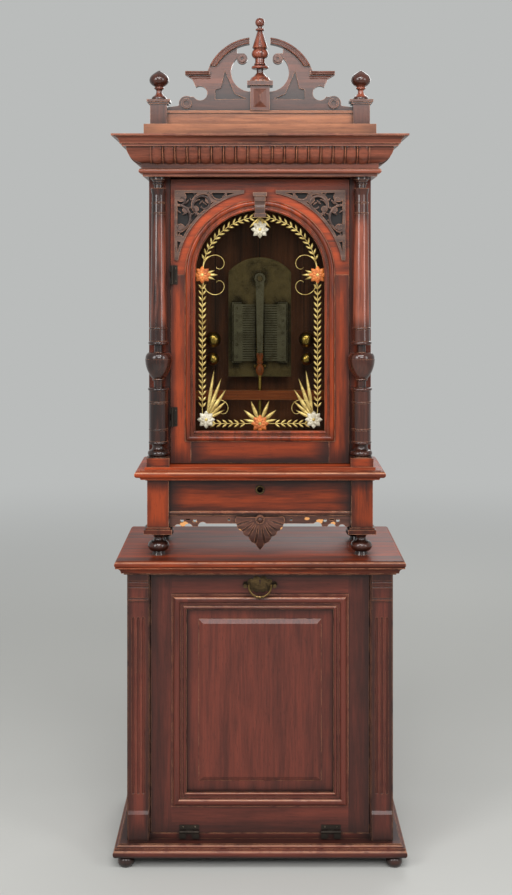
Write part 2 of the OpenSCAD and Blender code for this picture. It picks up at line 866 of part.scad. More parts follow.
module cornice() {
    z = z_cornice;
    tip = cornice_over;
    top = cornice_h;
    color(oak) {
        mitred_slab(case_hw, y_case, y_case_back) {
            course(10, z, z + 12);
            nose(20, z + 13, 6.2);
            course(band_out + 5, z + 18, z + band_top - band_r + 8);
            intersection() {
                translate([band_out, z + band_top]) circle(band_r);
                course(tip, z + 20, z + band_top);
            }
            course(tip - 24, z + band_top - 0.5, z + top - 22);
            difference() {
                course(tip - 3, z + top - 22.5, z + top - 4);
                translate([tip - 2, z + top - 22]) circle(17);
            }
            course(tip, z + top - 4.5, z + top);
        }
        translate([0, y_case - band_out, z + band_top]) lobe_row(case_w - 24);
        pair() translate([case_hw + band_out, (y_case + y_case_back) / 2, z + band_top])
            rotate([0, 0, 90]) lobe_row(case_d - 28);
    }
}

// Gallery and pediment above the cornice
y_gallery = y_case + 15;
pedestal_x = step_w / 2 - pedestal_w / 2 - 16;
z_pediment = z_gallery + rail_h;
pedestal_cap_h = 8;

module gallery() {
    half = step_w / 2;
    rail_hw = pedestal_x - pedestal_w / 2;
    color(oak) {
        block(-half, half, y_case - 8, y_case_back, z_step, z_gallery);
        block(-rail_hw, rail_hw, y_gallery - 12, y_gallery + 12, z_gallery, z_pediment - 5);
        block(-rail_hw, rail_hw, y_gallery - 16, y_gallery + 16, z_pediment - 6, z_pediment);
    }
}

module pedestals() {
    half = pedestal_w / 2;
    z0 = z_gallery + pedestal_h;
    color(oak) pair() translate([pedestal_x, y_gallery, 0]) {
        block(-half, half, -half, half, z_gallery, z0);
        block(-half - 4, half + 4, -half - 4, half + 4, z0 - 3, z0 + 3);
        block(-half - 8, half + 8, -half - 8, half + 8, z0 + 2, z0 + pedestal_cap_h);
    }
}

module acorn_finials() {
    z = z_gallery + pedestal_h + pedestal_cap_h;
    color(dark_oak) pair() translate([pedestal_x, y_gallery, z]) rotate_extrude() {
        taper(0, 7, 19, 19);
        taper(6, 14, 18, 8);
        taper(12, 30, 7.5, 7.5);
        ring(26, 13, 3);
        swell(27, 73, 50, 25, 24);
        taper(68, 75, 7, 1);
    }
}

// One half of the pediment's outline, right of the middle, from the rail upwards
swan_c = [11.2, 55];
// Heights of the centre block and its cap
block_rise = 62;
cap_rise = 11;
// Places and radii of the scrolls that end the arcs above and below
volute = [44.5, 130.5];
volute_r = 13;
arc_end = 26;
arc_w = 15;
foot_volute = [184, 18];
foot_volute_r = 19;

module swan_arc(r) {
    translate(swan_c) circle(r);
}

module pediment_outline() {
    x0 = centre_w / 2;
    difference() {
        union() {
            intersection() {
                swan_arc(swan_r);
                translate([x0, 0]) square([131 - x0, 190]);
            }
            polygon([[120, 0], [120, 98.5], [187, 98.5], [187, 90], [170, 80], [160.6, 60], [160, 0]]);
            polygon([[150, 0], [232, 0], [232, 9], [205, 12], [184, 34], [150, 36]]);
            translate(foot_volute) circle(foot_volute_r);
        }
        translate([150, 44]) circle(18);
        translate([23.5, 97]) circle(49);
        translate([0, block_rise]) square([arc_end, 130]);
        intersection() {
            swan_arc(swan_r - arc_w);
            translate([0, volute[1] + volute_r]) square([volute[0] + volute_r, 60]);
        }
        translate([0, -30]) square([260, 30]);
    }
    translate(volute) circle(volute_r);
}

module pediment_arc() {
    intersection() {
        difference() {
            swan_arc(swan_r);
            swan_arc(swan_r - arc_w);
        }
        translate([arc_end, 112]) square([131 - arc_end, 80]);
    }
    translate([125, 90]) square([62, 8.5]);
}

module pediment() {
    y = y_gallery - pediment_t / 2;
    color(oak) pair() translate([0, 0, z_pediment]) difference() {
        union() {
            plate(y, pediment_t) pediment_outline();
            plate(y - 7, 8) pediment_arc();
            plate(y - 5, 6) {
                translate(foot_volute) circle(foot_volute_r - 6);
                translate(volute) circle(volute_r - 3.5);
            }
        }
        plate(y - cut, 6) polygon([[112, 28], [112, 53], [98, 56], [88, 100], [63, 42], [35, 30]]);
        plate(y - 6, 4) {
            translate(foot_volute) circle(foot_volute_r - 12);
            translate(volute) circle(volute_r - 8.5);
        }
    }
}

module centre_block() {
    half = centre_w / 2;
    z = z_pediment;
    color(oak) {
        block(-half, half, y_gallery - 20, y_gallery + 20, z, z + block_rise);
        block(-half - 8, half + 8, y_gallery - 28, y_gallery + 28, z + block_rise, z + block_rise + cap_rise);
        translate([0, y_gallery - 20, z + block_rise / 2]) mitred_panel(half - 8, block_rise / 2 - 8)
            polygon([[0, -cut], [0, 0], [half - 8, 8], [$reach, 8], [$reach, -cut]]);
    }
}

module spire() {
    ball_r = 12;
    ball_rise = 149.4;
    color(dark_oak) translate([0, y_gallery, z_pediment + block_rise + cap_rise]) {
        rotate_extrude() {
            taper(0, 3, 28, 28);
            taper(2.5, 11, 27, 21.5);
            taper(10.5, 22, 20, 9);
            taper(20, 40, 8.6, 8.6);
            ring(36, 21.6, 4);
            ring(44, 15, 3.5);
            taper(40, 66, 12.4, 12.4);
            swell(59, 82, 70.5, 21.2, 13);
            taper(78, 86, 13, 19.4);
            taper(85.5, 129, 19.4, 6);
            ring(131, 11.2, 3);
            taper(126, ball_rise, 5.6, 5.6);
        }
        translate([0, 0, ball_rise]) sphere(ball_r);
    }
}

// Door
rebate = 11.5;
glass_hw = arch_r + rebate;
glass_sink = 10;
z_door = z_case + leaf_gap;
z_door_top = z_cornice - 2 * leaf_gap;

module door_stiles() {
    color(oak) pair() block(glass_hw, door_hw, y_door, y_door + door_t, z_door, z_arch);
}

module door_bottom_rail() {
    color(oak) block(-glass_hw, glass_hw, y_door, y_door + door_t, z_door, z_glass - rebate);
}

module door_head() {
    color(oak) difference() {
        block(-door_hw, door_hw, y_door, y_door + door_t, z_arch, z_door_top);
        bar_y(0, z_arch, y_door - cut, y_door + door_t + cut, glass_hw);
        plate(y_door - cut, fret_sink + cut) pair() spandrel(fret_edge - 1);
    }
}

// Sections of the moulding: x is the distance from the arch's centre and y stands forward
module glazing_lip() {
    translate([arch_r, 0.2 - glass_sink]) square([rebate - 0.2, glass_sink + 3]);
}

module glazing_face() {
    translate([arch_r, 0]) square([glazing_w, 4]);
    translate([arch_r + 3.6, 3.8]) circle(3.2);
    intersection() {
        translate([arch_r + glazing_w - 8, 3.2]) circle(glazing_t - 3.2);
        translate([arch_r, 0]) square([glazing_w, glazing_t + cut]);
    }
}

module door_moulding() {
    color(dark_oak) translate([0, y_door, 0]) {
        translate([0, 0, z_arch]) rotate([90, 0, 0]) rotate_extrude(angle = 180) {
            glazing_lip();
            glazing_face();
        }
        pair() intersection() {
            translate([0, 0, z_glass - glazing_w]) linear_extrude(z_arch - z_glass + glazing_w)
                mirror([0, 1]) {
                    glazing_lip();
                    glazing_face();
                }
            mitre([[0, z_glass + arch_r], [0, z_arch + cut], [2 * arch_r, z_arch + cut],
                [2 * arch_r, z_glass - arch_r]]);
        }
        intersection() {
            translate([0, 0, z_glass + arch_r]) multmatrix([[0, 0, -1, 0], [0, -1, 0, 0], [-1, 0, 0, 0]])
                linear_extrude(2 * (arch_r + glazing_w), center = true) {
                    glazing_lip();
                    glazing_face();
                }
            mitre([[0, z_glass + arch_r], [2 * arch_r, z_glass - arch_r], [-2 * arch_r, z_glass - arch_r]]);
        }
    }
}

// The room on one side of the lines at which the moulding's lengths meet
module mitre(outline) {
    plate(-2 * glazing_t, 4 * glazing_t) polygon(outline);
}

fret_t = 6;
fret_r = arch_r + glazing_w + 20;
fret_edge = 7;
fret_band = 5.5;
// Depth of the dark ground behind the frets
fret_sink = 9;

// The spandrel between the arch and the door's corner, drawn in from its edges
module spandrel(inset) {
    difference() {
        translate([40 + inset, z_arch + 37 + inset])
            square([door_hw - 50 - 2 * inset, z_door_top - z_arch - 64 - 2 * inset]);
        translate([0, z_arch]) circle(fret_r + inset);
    }
}

module fret() {
    corner = [door_hw - 10, z_door_top - 27];
    // Scrolls and buds, each by its distance in and down from the corner and its radius
    scrolls = [[73, 36, 31], [8, 70, 35], [111, 6, 22]];
    buds = [[88, 24, 10], [17, 17, 13], [15, 96, 11], [53, 48, 8], [28, 50, 8], [13, 122, 9]];
    intersection() {
        spandrel(0);
        union() {
            difference() {
                spandrel(0);
                spandrel(fret_edge);
            }
            for (s = scrolls) translate(corner - [s[0], s[1]]) difference() {
                circle(s[2]);
                circle(s[2] - fret_band);
            }
            for (b = buds) translate(corner - [b[0], b[1]]) circle(b[2]);
        }
    }
}

// A bracket over the crown of the arch, with a cap above its hollowed front and a small block below
module keystone() {
    wide = 14.5;
    narrow = 12;
    proud = 6;
    block_out = 3;
    block_z = 10;
    waist_r = 14;
    y = y_door - glazing_t - proud;
    z0 = z_arch + arch_r - 18;
    z1 = z_arch + arch_r + 45;
    difference() {
        union() {
            plate(y, glazing_t + proud)
                polygon([[-narrow, z0], [narrow, z0], [wide, z1], [-wide, z1]]);
            block(-wide - block_out, wide + block_out, y - block_out, y_door, z1 - block_z, z1);
            block(-narrow - block_out, narrow + block_out, y - block_out, y_door, z0, z0 + block_z);
        }
        bar_x(y - waist_r + proud - 2, (z0 + z1) / 2, -2 * wide, 2 * wide, waist_r);
        bar_y(0, z_arch, y_door - glazing_t - 0.1, y_door + cut, arch_r + glazing_w + 0.1);
    }
}

module door_carvings() {
    color(dark_oak) {
        plate(y_door - fret_t, fret_t) pair() fret();
        keystone();
    }
}

module door_glass() {
    hw = glass_hw - 0.5;
    color("lightcyan", 0.3) plate(y_door + glass_sink, glass_t) {
        translate([-hw, z_glass - rebate + 0.5]) square([2 * hw, z_arch - z_glass + rebate - 0.5]);
        intersection() {
            translate([0, z_arch]) circle(hw);
            translate([-hw, z_arch - 1]) square([2 * hw, hw + 2]);
        }
    }
}

module door_hinge_leaves() {
    half = knuckle_l / 2 - clear;
    color(brass) for (z = door_hinge_z) translate([door_pin[0], door_pin[1], z]) difference() {
        union() {
            translate([0, 0, -half]) cylinder(r = knuckle_r, h = 2 * half);
            translate([0, 0, -half]) cube([knuckle_r, glazing_t, 2 * half]);
            translate([-3, glazing_t - leaf_t, -hinge_l / 2]) cube([16, leaf_t, hinge_l]);
        }
        translate([0, 0, -hinge_l]) cylinder(r = pin_r + run, h = 2 * hinge_l);
    }
}

// Movement
y_bed = y_door + bed_depth;
y_back_face = y_case_back - back_board;
z_bed = z_case + 212.5;
z_spindle = z_bed + 257;
spindle_r = 6;
y_arm = y_bed - 52;
arm_t = 8;
hub_r = 14;
bed_arch_r = bed_w * 0.66;

module bedplate() {
    color(iron) {
        plate(y_bed, bed_t) intersection() {
            translate([-bed_w / 2, z_bed]) square([bed_w, bed_h]);
            union() {
                translate([0, z_bed + bed_h - bed_arch_r]) circle(bed_arch_r);
                translate([-bed_w, z_bed]) square([2 * bed_w, bed_h - bed_arch_r]);
            }
        }
        for (x = [-1, 1], z = [60, bed_h - 90])
            bar_y(x * (bed_w / 2 - 18), z_bed + z, y_bed + bed_t - cut, y_back_face, 8);
        bar_y(0, z_spindle, y_arm + 21.4, y_bed + cut, hub_r);
        bar_y(0, z_spindle, y_arm - 4, y_bed, spindle_r);
    }
}

// Star wheels turn on a pin between the gantry's two lugs
lug_t = 6;
y_star = y_bed - 24;
y_drive = y_bed - 18;
z_lug = z_bed + 35;
z_star = z_lug + lug_t + clear;
star_l = star_count * star_pitch;
z_lug_top = z_star + star_l + clear;
spigot_r = 2.5;

module gantry() {
    color(brass) {
        difference() {
            union() {
                block(-8, 8, y_bed - 6, y_bed, z_lug, z_lug_top + lug_t);
                for (z = [z_lug, z_lug_top]) block(-8, 8, y_star - 5, y_bed, z, z + lug_t);
            }
            translate([0, y_drive, z_lug - cut]) cylinder(r = spigot_r + run, h = lug_t + 2 * cut);
        }
        translate([0, y_star, z_lug]) cylinder(r = pin_r, h = z_lug_top + lug_t - z_lug);
    }
}

module star_wheels() {
    color(steel) translate([0, y_star, z_star]) difference() {
        union() {
            cylinder(r = 3.2, h = star_l);
            for (i = [0 : star_count - 1]) translate([0, 0, (i + 0.5) * star_pitch - 0.6])
                linear_extrude(1.2) toothed(5, star_r, 8, 3);
        }
        translate([0, 0, -cut]) cylinder(r = pin_r + run, h = star_l + 2 * cut);
    }
}

module combs() {
    tip = star_r + 3;
    base_x = 46;
    wide = bed_w / 2 - 14;
    color(steel) pair() {
        plate(y_bed - 20, 4) difference() {
            translate([tip, z_star]) square([wide - tip, star_l]);
            for (i = [0 : star_count]) translate([tip - cut, z_star + i * star_pitch - 1])
                square([base_x - tip, 2]);
        }
        block(base_x + 2, wide + 4, y_bed - 16, y_bed, z_star - 4, z_star + star_l + 4);
    }
}

module pressure_arm() {
    hub_l = 21;
    z_end = z_spindle - arm_l + 57;
    color(brass) difference() {
        union() {
            bar_y(0, z_spindle, y_arm, y_arm + hub_l, hub_r);
            plate(y_arm, arm_t) polygon([[-11, z_spindle], [11, z_spindle], [7, z_end], [-7, z_end]]);
            plate(y_arm + arm_t - cut, 5) polygon([[-2.5, z_spindle], [2.5, z_spindle], [2.5, z_end + 20],
                [-2.5, z_end + 20]]);
        }
        bar_y(0, z_spindle, y_arm - cut, y_arm + hub_l + cut, spindle_r + run);
    }
}

module arm_handle() {
    color(dark_oak) translate([0, y_arm + arm_t / 2, z_spindle - arm_l]) rotate_extrude() {
        swell(0, 30, 14, 10.5, 19);
        taper(0, 50, 6, 6);
        ring(34, 8.5, 2.5);
        taper(38, 54, 6, 9);
        taper(53.5, 57, 8, 8);
    }
}

// Bells, each by its place beside and above the bedplate's foot and its radius
bells_at = [[123, 97, bell_r], [123, 46, bell_r - 4]];

module bells() {
    wall = 1.6;
    color(brass) pair() for (b = bells_at) translate([b[0], y_bed - 5, z_bed + b[1]]) {
        difference() {
            rotate([90, 0, 0]) rotate_extrude() intersection() {
                difference() {
                    circle(b[2]);
                    circle(b[2] - wall);
                }
                square(b[2] + cut);
            }
        }
        bar_y(0, 0, 1 - b[2], y_back_face - y_bed + 5, 3);
        bar_y(0, 0, -b[2] - 3, wall - b[2], 4);
    }
}

module cross_rail() {
    hw = case_hw - board;
    z = z_case + 154.5;
    color(oak) difference() {
        block(-hw, hw, y_drive - 12, y_drive + 12, z, z + 24);
        translate([0, y_drive, z - cut]) cylinder(r = drive_r + run, h = 26);
    }
}

// Spring motor behind the winding panel
tooth_h = 5.2;
pinion_r = crown_r * pinion_teeth / crown_teeth;
pinion_l = 12;
y_wheel = y_drive + pinion_r + 3.5;
wheel_t = 5;
y_front_plate = y_door + door_t + 4;
plate_t = 4;
y_back_plate = y_wheel + wheel_t + 4;
frame_hw = 80;
frame_right = 168;
z_frame_top = z_wind + 88;
fan_r = 2.5;
lug_x = [80, 158];
z_drive_lug = z_wind + crown_r + 12;
// Ratchet on the winding arbor and the click that holds it
ratchet_teeth = 24;
ratchet_r = 18;
ratchet_t = 5;
y_ratchet = y_front_plate - 9;
click_pin = [31 * cos(178), 31 * sin(178)];
click_pin_r = 2;

function polar(r, a) = [r * cos(a), r * sin(a)];

module motor_frame() {
    z_mid = [z_motor + 14, z_frame_top - 12];
    color(brass) {
        difference() {
            block(-frame_hw, frame_hw, y_front_plate, y_front_plate + plate_t, z_motor, z_frame_top);
            bar_y(0, z_wind, y_front_plate - cut, y_front_plate + plate_t + cut, arbor_r + run);
        }
        difference() {
            union() {
                block(-frame_hw, frame_right, y_back_plate, y_back_plate + plate_t, z_motor, z_frame_top);
                block(-9, 9, y_drive - 9, y_back_plate + cut, z_drive_lug, z_drive_lug + 8);
                for (x = lug_x) block(x, x + 8, y_drive - 7, y_back_plate + cut, z_wind - 7, z_wind + 7);
            }
            bar_y(0, z_wind, y_back_plate - cut, y_back_plate + plate_t + cut, arbor_r + run);
            translate([0, y_drive, z_drive_lug - cut]) cylinder(r = drive_r + run, h = 8 + 2 * cut);
            bar_x(y_drive, z_wind, lug_x[0] - cut, frame_right, fan_r + run);
        }
        for (x = [-frame_hw + 12, frame_hw - 12], z = z_mid)
            bar_y(x, z, y_front_plate + cut, y_back_plate + cut, 5);
        bar_y(click_pin[0], z_wind + click_pin[1], y_ratchet - 1, y_front_plate + cut, click_pin_r);
    }
}

module spring_barrel() {
    y0 = y_front_plate + plate_t + 2;
    color(brass) difference() {
        union() {
            bar_y(0, z_wind, y0, y_wheel + cut, barrel_r);
            bar_y(0, z_wind, y_wheel, y_wheel + wheel_t, crown_r + 6);
            for (i = [0 : crown_teeth - 1]) translate([0, 0, z_wind])
                rotate([0, (i + 0.5) * 360 / crown_teeth, 0])
                    block(-0.9, 0.9, y_wheel - tooth_h, y_wheel + cut, crown_r - 3.5, crown_r + 3.5);
        }
        bar_y(0, z_wind, y0 - cut, y_wheel + wheel_t + cut, arbor_r + run);
    }
}

module winding_arbor() {
    side = arbor_r * 1.4;
    color(steel) {
        bar_y(0, z_wind, y_ratchet - 6, y_back_plate + plate_t + 3, arbor_r);
        block(-side / 2, side / 2, panel_y + panel_t + 6, y_ratchet, z_wind - side / 2, z_wind + side / 2);
        translate([0, 0, z_wind]) plate(y_ratchet, ratchet_t)
            polygon([for (i = [0 : ratchet_teeth - 1], step = [0, 1])
                polar(step == 0 ? ratchet_r : ratchet_r - 3, 360 * i / ratchet_teeth + step)]);
    }
}

module click() {
    tooth = 10 * 360 / ratchet_teeth;
    color(steel) translate([0, 0, z_wind]) difference() {
        union() {
            bar_y(click_pin[0], click_pin[1], y_ratchet, y_ratchet + ratchet_t, 4.2);
            plate(y_ratchet, ratchet_t) polygon([polar(16.5, tooth + 2.5), polar(17.8, tooth + 6.5),
                click_pin + [3, -2.2], click_pin + [-1, 3], polar(21.5, tooth + 8)]);
        }
        bar_y(click_pin[0], click_pin[1], y_ratchet - cut, y_ratchet + ratchet_t + cut, click_pin_r + run);
    }
}

module pinion() {
    linear_extrude(pinion_l, center = true) toothed(pinion_r - 3.4, pinion_r + 1.4, pinion_teeth, 2.4);
}

module drive_arbor() {
    color(steel) translate([0, y_drive, 0]) {
        translate([0, 0, z_wind + crown_r]) pinion();
        translate([0, 0, z_wind + crown_r - pinion_l / 2])
            cylinder(r = drive_r, h = z_lug - 2 - z_wind - crown_r + pinion_l / 2);
        translate([0, 0, z_lug - 3]) cylinder(r = spigot_r, h = lug_t + 3);
        translate([0, 0, z_lug - 9]) linear_extrude(6) toothed(11, 15, 10, 3);
    }
}

module governor_fan() {
    blade = 19;
    color(steel) translate([0, y_drive, z_wind]) {
        translate([crown_r, 0, 0]) rotate([0, 90, 0]) pinion();
        bar_x(0, 0, crown_r - pinion_l / 2, frame_right + 2, fan_r);
        block(lug_x[0] + 16, lug_x[1] - 10, -blade, blade, -0.6, 0.6);
        block(lug_x[0] + 16, lug_x[1] - 10, -0.6, 0.6, -blade, blade);
    }
}

bun_feet();
cabinet_plinth();
cabinet_floor();
cabinet_sides();
cabinet_back();
cabinet_stiles();
pilasters();
flap_sill();
cabinet_top();
disc_rack();
tune_discs();
flap_frame();
flap_moulding();
flap_panel();
pull_plate();
flap_bail();
flap_lock();
lock_bolt();
flap_hinge_leaves();
hinge_butts();
case_feet();
case_posts();
base_panels();
winding_panel();
winding_collar();
apron();
waist_ledge();
column_blocks();
columns();
case_sides();
case_back();
case_stiles();
cornice();
gallery();
pedestals();
acorn_finials();
pediment();
centre_block();
spire();
door_stiles();
door_bottom_rail();
door_head();
door_moulding();
door_carvings();
door_glass();
door_hinge_leaves();
bedplate();
combs();
gantry();
star_wheels();
pressure_arm();
arm_handle();
bells();
cross_rail();
motor_frame();
spring_barrel();
winding_arbor();
click();
drive_arbor();
governor_fan();
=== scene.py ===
"""Finish of an upright disc music box: polished case, gilt glass, aged movement and its studio."""

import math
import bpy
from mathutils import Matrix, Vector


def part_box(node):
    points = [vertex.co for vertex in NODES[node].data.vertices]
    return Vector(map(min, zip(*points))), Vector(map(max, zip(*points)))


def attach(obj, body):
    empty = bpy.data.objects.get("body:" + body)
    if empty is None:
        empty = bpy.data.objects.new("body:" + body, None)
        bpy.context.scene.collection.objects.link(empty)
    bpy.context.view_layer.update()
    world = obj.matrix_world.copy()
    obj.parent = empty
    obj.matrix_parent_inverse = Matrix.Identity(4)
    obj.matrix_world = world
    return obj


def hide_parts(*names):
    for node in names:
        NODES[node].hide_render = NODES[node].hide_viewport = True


bl_info = {
    "name": "Disc Music Box Finish",
    "version": (1, 0, 0),
    "blender": (4, 5, 0),
    "location": "View3D > Sidebar > Music Box",
    "description": "Polishes, carves and gilds an upright disc music box and sets up its studio",
    "category": "Object",
}

from functools import cached_property

import bmesh
import bpy
from bpy.props import FloatProperty, FloatVectorProperty, PointerProperty
from mathutils import Matrix, Vector

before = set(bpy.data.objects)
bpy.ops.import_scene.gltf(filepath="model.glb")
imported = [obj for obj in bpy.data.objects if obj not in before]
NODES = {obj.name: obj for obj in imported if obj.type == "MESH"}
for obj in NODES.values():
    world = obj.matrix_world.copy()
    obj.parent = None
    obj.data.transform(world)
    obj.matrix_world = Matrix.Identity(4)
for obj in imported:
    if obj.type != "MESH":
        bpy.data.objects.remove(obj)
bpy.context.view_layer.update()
MM = 0.001
# Points closer than this are one point, on a piece and along the seam of its two halves
WELD = 0.001 * MM
SEAM = 0.01 * MM


def linear(level):
    """An 8-bit sRGB level as linear light."""
    share = level / 255
    return share / 12.92 if share <= 0.04045 else ((share + 0.055) / 1.055) ** 2.4


def colour(name, description, *levels):
    """A colour property whose default is given in 8-bit sRGB levels."""
    return FloatVectorProperty(
        name=name,
        description=description,
        subtype="COLOR",
        size=3,
        min=0,
        max=1,
        default=[linear(level) for level in levels],
    )


def length(name, description, millimetres):
    """A length property whose default is given in millimetres."""
    return FloatProperty(
        name=name, description=description, unit="LENGTH", min=0, default=millimetres * MM
    )


class WoodSettings(bpy.types.PropertyGroup):
    """Colours and polish of the woods."""

    case_light: colour("Case, light", "Light figure of the upper case", 170, 66, 22)
    case_dark: colour("Case, dark", "Dark figure of the upper case", 80, 30, 12)
    cabinet_light: colour("Cabinet, light", "Light figure of the disc cabinet", 114, 52, 39)
    cabinet_dark: colour("Cabinet, dark", "Dark figure of the disc cabinet", 70, 32, 25)
    crown_light: colour("Crown, light", "Light figure of the cornice", 148, 80, 58)
    crown_dark: colour("Crown, dark", "Dark figure of the cornice", 70, 36, 26)
    pediment_light: colour("Pediment, light", "Light figure of the pediment", 112, 64, 48)
    pediment_dark: colour("Pediment, dark", "Dark figure of the pediment", 58, 33, 25)
    gallery_light: colour("Gallery, light", "Light figure of the worn gallery step", 190, 122, 84)
    gallery_dark: colour("Gallery, dark", "Dark figure of the worn gallery step", 116, 68, 47)
    lacquer_light: colour("Lacquer, light", "Light figure of the columns and feet", 166, 88, 64)
    lacquer_dark: colour("Lacquer, dark", "Dark stain of the columns and feet", 44, 25, 21)
    carving_light: colour("Carving, light", "High places of the frets and keystone", 116, 88, 76)
    carving_dark: colour("Carving, dark", "Low places of the frets and keystone", 50, 34, 29)
    apron_light: colour("Apron, light", "High places of the apron", 104, 66, 54)
    apron_dark: colour("Apron, dark", "Low places of the apron", 44, 25, 20)
    inner_light: colour("Inside, light", "Light figure of the unpolished inside", 150, 84, 56)
    inner_dark: colour("Inside, dark", "Dark figure of the unpolished inside", 84, 44, 31)
    handle_light: colour("Handle, light", "Light figure of the turned handle", 228, 122, 70)
    handle_dark: colour("Handle, dark", "Dark figure of the turned handle", 150, 70, 38)
    # Dark colour of pores, margins, turnings and joints, and of the painted shade in corners and
    # recesses
    stain: colour("Corner stain", "Old polish gathered in the corners", 19, 11, 9)
    # Pale colour of rub-worn edges, and of the painted highlight on the rounded nose of a moulding
    rubbed: colour("Rubbed edge", "Wood where the edges are rubbed through", 206, 142, 104)
    # Reach of the painted shade in corners, which also keeps the rubbing out of corners
    corner_reach: length("Corner reach", "How far the dark polish spreads from a corner", 55)
    rub_width: length("Rub width", "How wide an edge is rubbed", 2.6)
    # How far in from its edges each board is darkened
    burst_reach: length("Burst reach", "How far a board's edges are shaded", 62)
    chipped: colour("Chipped wood", "Bare wood where the apron is chipped", 222, 158, 96)
    plank_wide: length("Plank width", "Width of the planks in the back boards", 118)


class MetalSettings(bpy.types.PropertyGroup):
    """Colours of the metals and of the pane."""

    brass: colour("Brass", "Clean places of the brass", 222, 178, 98)
    brass_tarnish: colour("Brass tarnish", "Dull places of the brass", 128, 92, 44)
    bronze: colour("Bronze", "Clean places of the dark pull and collar", 122, 98, 62)
    bronze_tarnish: colour("Bronze tarnish", "Dull places of pull, collar and hinges", 34, 28, 21)
    hinge: colour("Hinge", "Clean places of the blackened hinges", 62, 50, 40)
    steel: colour("Steel", "Bright steel of combs and arbors", 128, 116, 100)
    steel_tarnish: colour("Steel tarnish", "Dull places of the steel", 62, 53, 43)
    iron: colour("Iron", "Bronzed cast iron of the bedplate", 118, 96, 66)
    iron_dark: colour("Iron, dark", "Low places of the cast iron", 52, 42, 30)
    disc: colour("Disc", "Lacquered sheet of the tune discs", 176, 158, 124)
    disc_tarnish: colour("Disc tarnish", "Aged lacquer of the tune discs", 122, 98, 66)
    pane: colour("Pane", "Tint of the old glass", 222, 225, 218)
    disc_track: length("Disc track", "Distance between the tracks of a disc", 4.2)
    disc_slot: length("Disc slot", "Distance between the places of slots along a track", 8)


class BorderSettings(bpy.types.PropertyGroup):
    """Gilt border on the glass."""

    sight: length("Sight", "Glass hidden behind the glazing bead", 11)
    inset: length("Inset", "From the glazing bead to the border's stem", 17)
    corner: length("Corner", "Radius of the stem's lower corners", 34)
    leaf_long: length("Leaf length", "Length of a laurel leaf", 17)
    leaf_wide: length("Leaf width", "Width of a laurel leaf", 5.2)
    pitch: length("Pitch", "Distance between pairs of leaves", 15)
    stem: length("Stem", "Width of the stem", 1.8)
    foil: length("Foil", "Thickness of the gilt layer", 0.15)
    proud: length("Stand-off", "From the pane's face to the middle of the gilding", 0.4)
    rosette: length("Rosette", "Radius of a rosette", 23)
    gilt: colour("Gilt", "Gold leaf of stem and leaves", 222, 196, 120)
    gilt_shade: colour("Gilt, worn", "Rubbed places of the gold leaf", 150, 122, 62)
    cream: colour("Cream", "Petals of the pale rosettes", 226, 218, 196)
    cream_shade: colour("Cream, shaded", "Shaded petals of the pale rosettes", 150, 138, 112)
    orange: colour("Orange", "Petals of the warm rosettes", 226, 132, 62)
    orange_shade: colour("Orange, shaded", "Shaded petals of the warm rosettes", 156, 76, 34)


class StageSettings(bpy.types.PropertyGroup):
    """Camera, lamps and floor."""

    eye: FloatVectorProperty(
        name="Eye", description="Place of the camera", subtype="XYZ", unit="LENGTH",
        default=(-0.010, -3.5175, 1.485),
    )
    lens: FloatProperty(
        name="Lens", description="Focal length on a 36 mm frame", unit="CAMERA", default=54.18
    )
    shift: FloatProperty(
        name="Shift", description="Vertical shift of the level camera", default=-0.2039
    )
    floor: colour("Floor", "Pale studio floor", 205, 205, 201)
    room: colour("Room", "Pale room round the object", 186, 188, 187)
    room_light: FloatProperty(
        name="Room light", description="Strength of the room light", default=0.5
    )
    key_power: FloatProperty(
        name="Key", description="Power of the left lamp", unit="POWER", default=62
    )
    fill_power: FloatProperty(
        name="Fill", description="Power of the right lamp", unit="POWER", default=34
    )
    front_power: FloatProperty(
        name="Front", description="Power of the front lamp", unit="POWER", default=60
    )
    back_power: FloatProperty(
        name="Back", description="Power of the lamp behind", unit="POWER", default=40
    )
    strip_power: FloatProperty(
        name="Strip", description="Power of the overhead strip", unit="POWER", default=50
    )


class Wire:
    """A node's output that takes part in Python arithmetic: each step adds a Math node."""

    def __init__(self, mix, socket):
        self.mix = mix
        self.socket = socket

    def maths(self, operation, *values):
        return self.mix.node("Math", {"operation": operation}, dict(enumerate(values)))

    def __add__(self, other):
        return self.maths("ADD", self, other)

    def __radd__(self, other):
        return self.maths("ADD", other, self)

    def __sub__(self, other):
        return self.maths("SUBTRACT", self, other)

    def __rsub__(self, other):
        return self.maths("SUBTRACT", other, self)

    def __mul__(self, other):
        return self.maths("MULTIPLY", self, other)

    def __rmul__(self, other):
        return self.maths("MULTIPLY", other, self)

    def __truediv__(self, other):
        return self.maths("DIVIDE", self, other)

    def __pow__(self, other):
        return self.maths("POWER", self, other)

    def __gt__(self, other):
        return self.maths("GREATER_THAN", self, other)

    def __abs__(self):
        return self.maths("ABSOLUTE", self)

    def least(self, other):
        return self.maths("MINIMUM", self, other)

    def most(self, other):
        return self.maths("MAXIMUM", self, other)

    def part(self):
        """What is left after the whole number."""
        return self.maths("FRACT", self)

    def whole(self):
        return self.maths("FLOOR", self)

    def step(self, low, high):
        """0 below low, 1 above high, smooth between them."""
        return self.mix.node(
            "MapRange",
            {"interpolation_type": "SMOOTHSTEP"},
            {"Value": self, "From Min": low, "From Max": high},
        )


# Rays that the ambient occlusion and bevel nodes send out, and the turn of a normal on an edge
HOLLOW_SAMPLES = 6
EDGE_SAMPLES = 4
EDGE_SPAN = (0.02, 0.22)
# Stretch of the noise for a grain along each axis
ALONG = {"X": (0.07, 1, 1), "Y": (1, 0.07, 1), "Z": (1, 1, 0.07)}
# How far apart two boards lie in the log that they are cut from
LOG_STEP = (1.37, 0.71, 2.13)


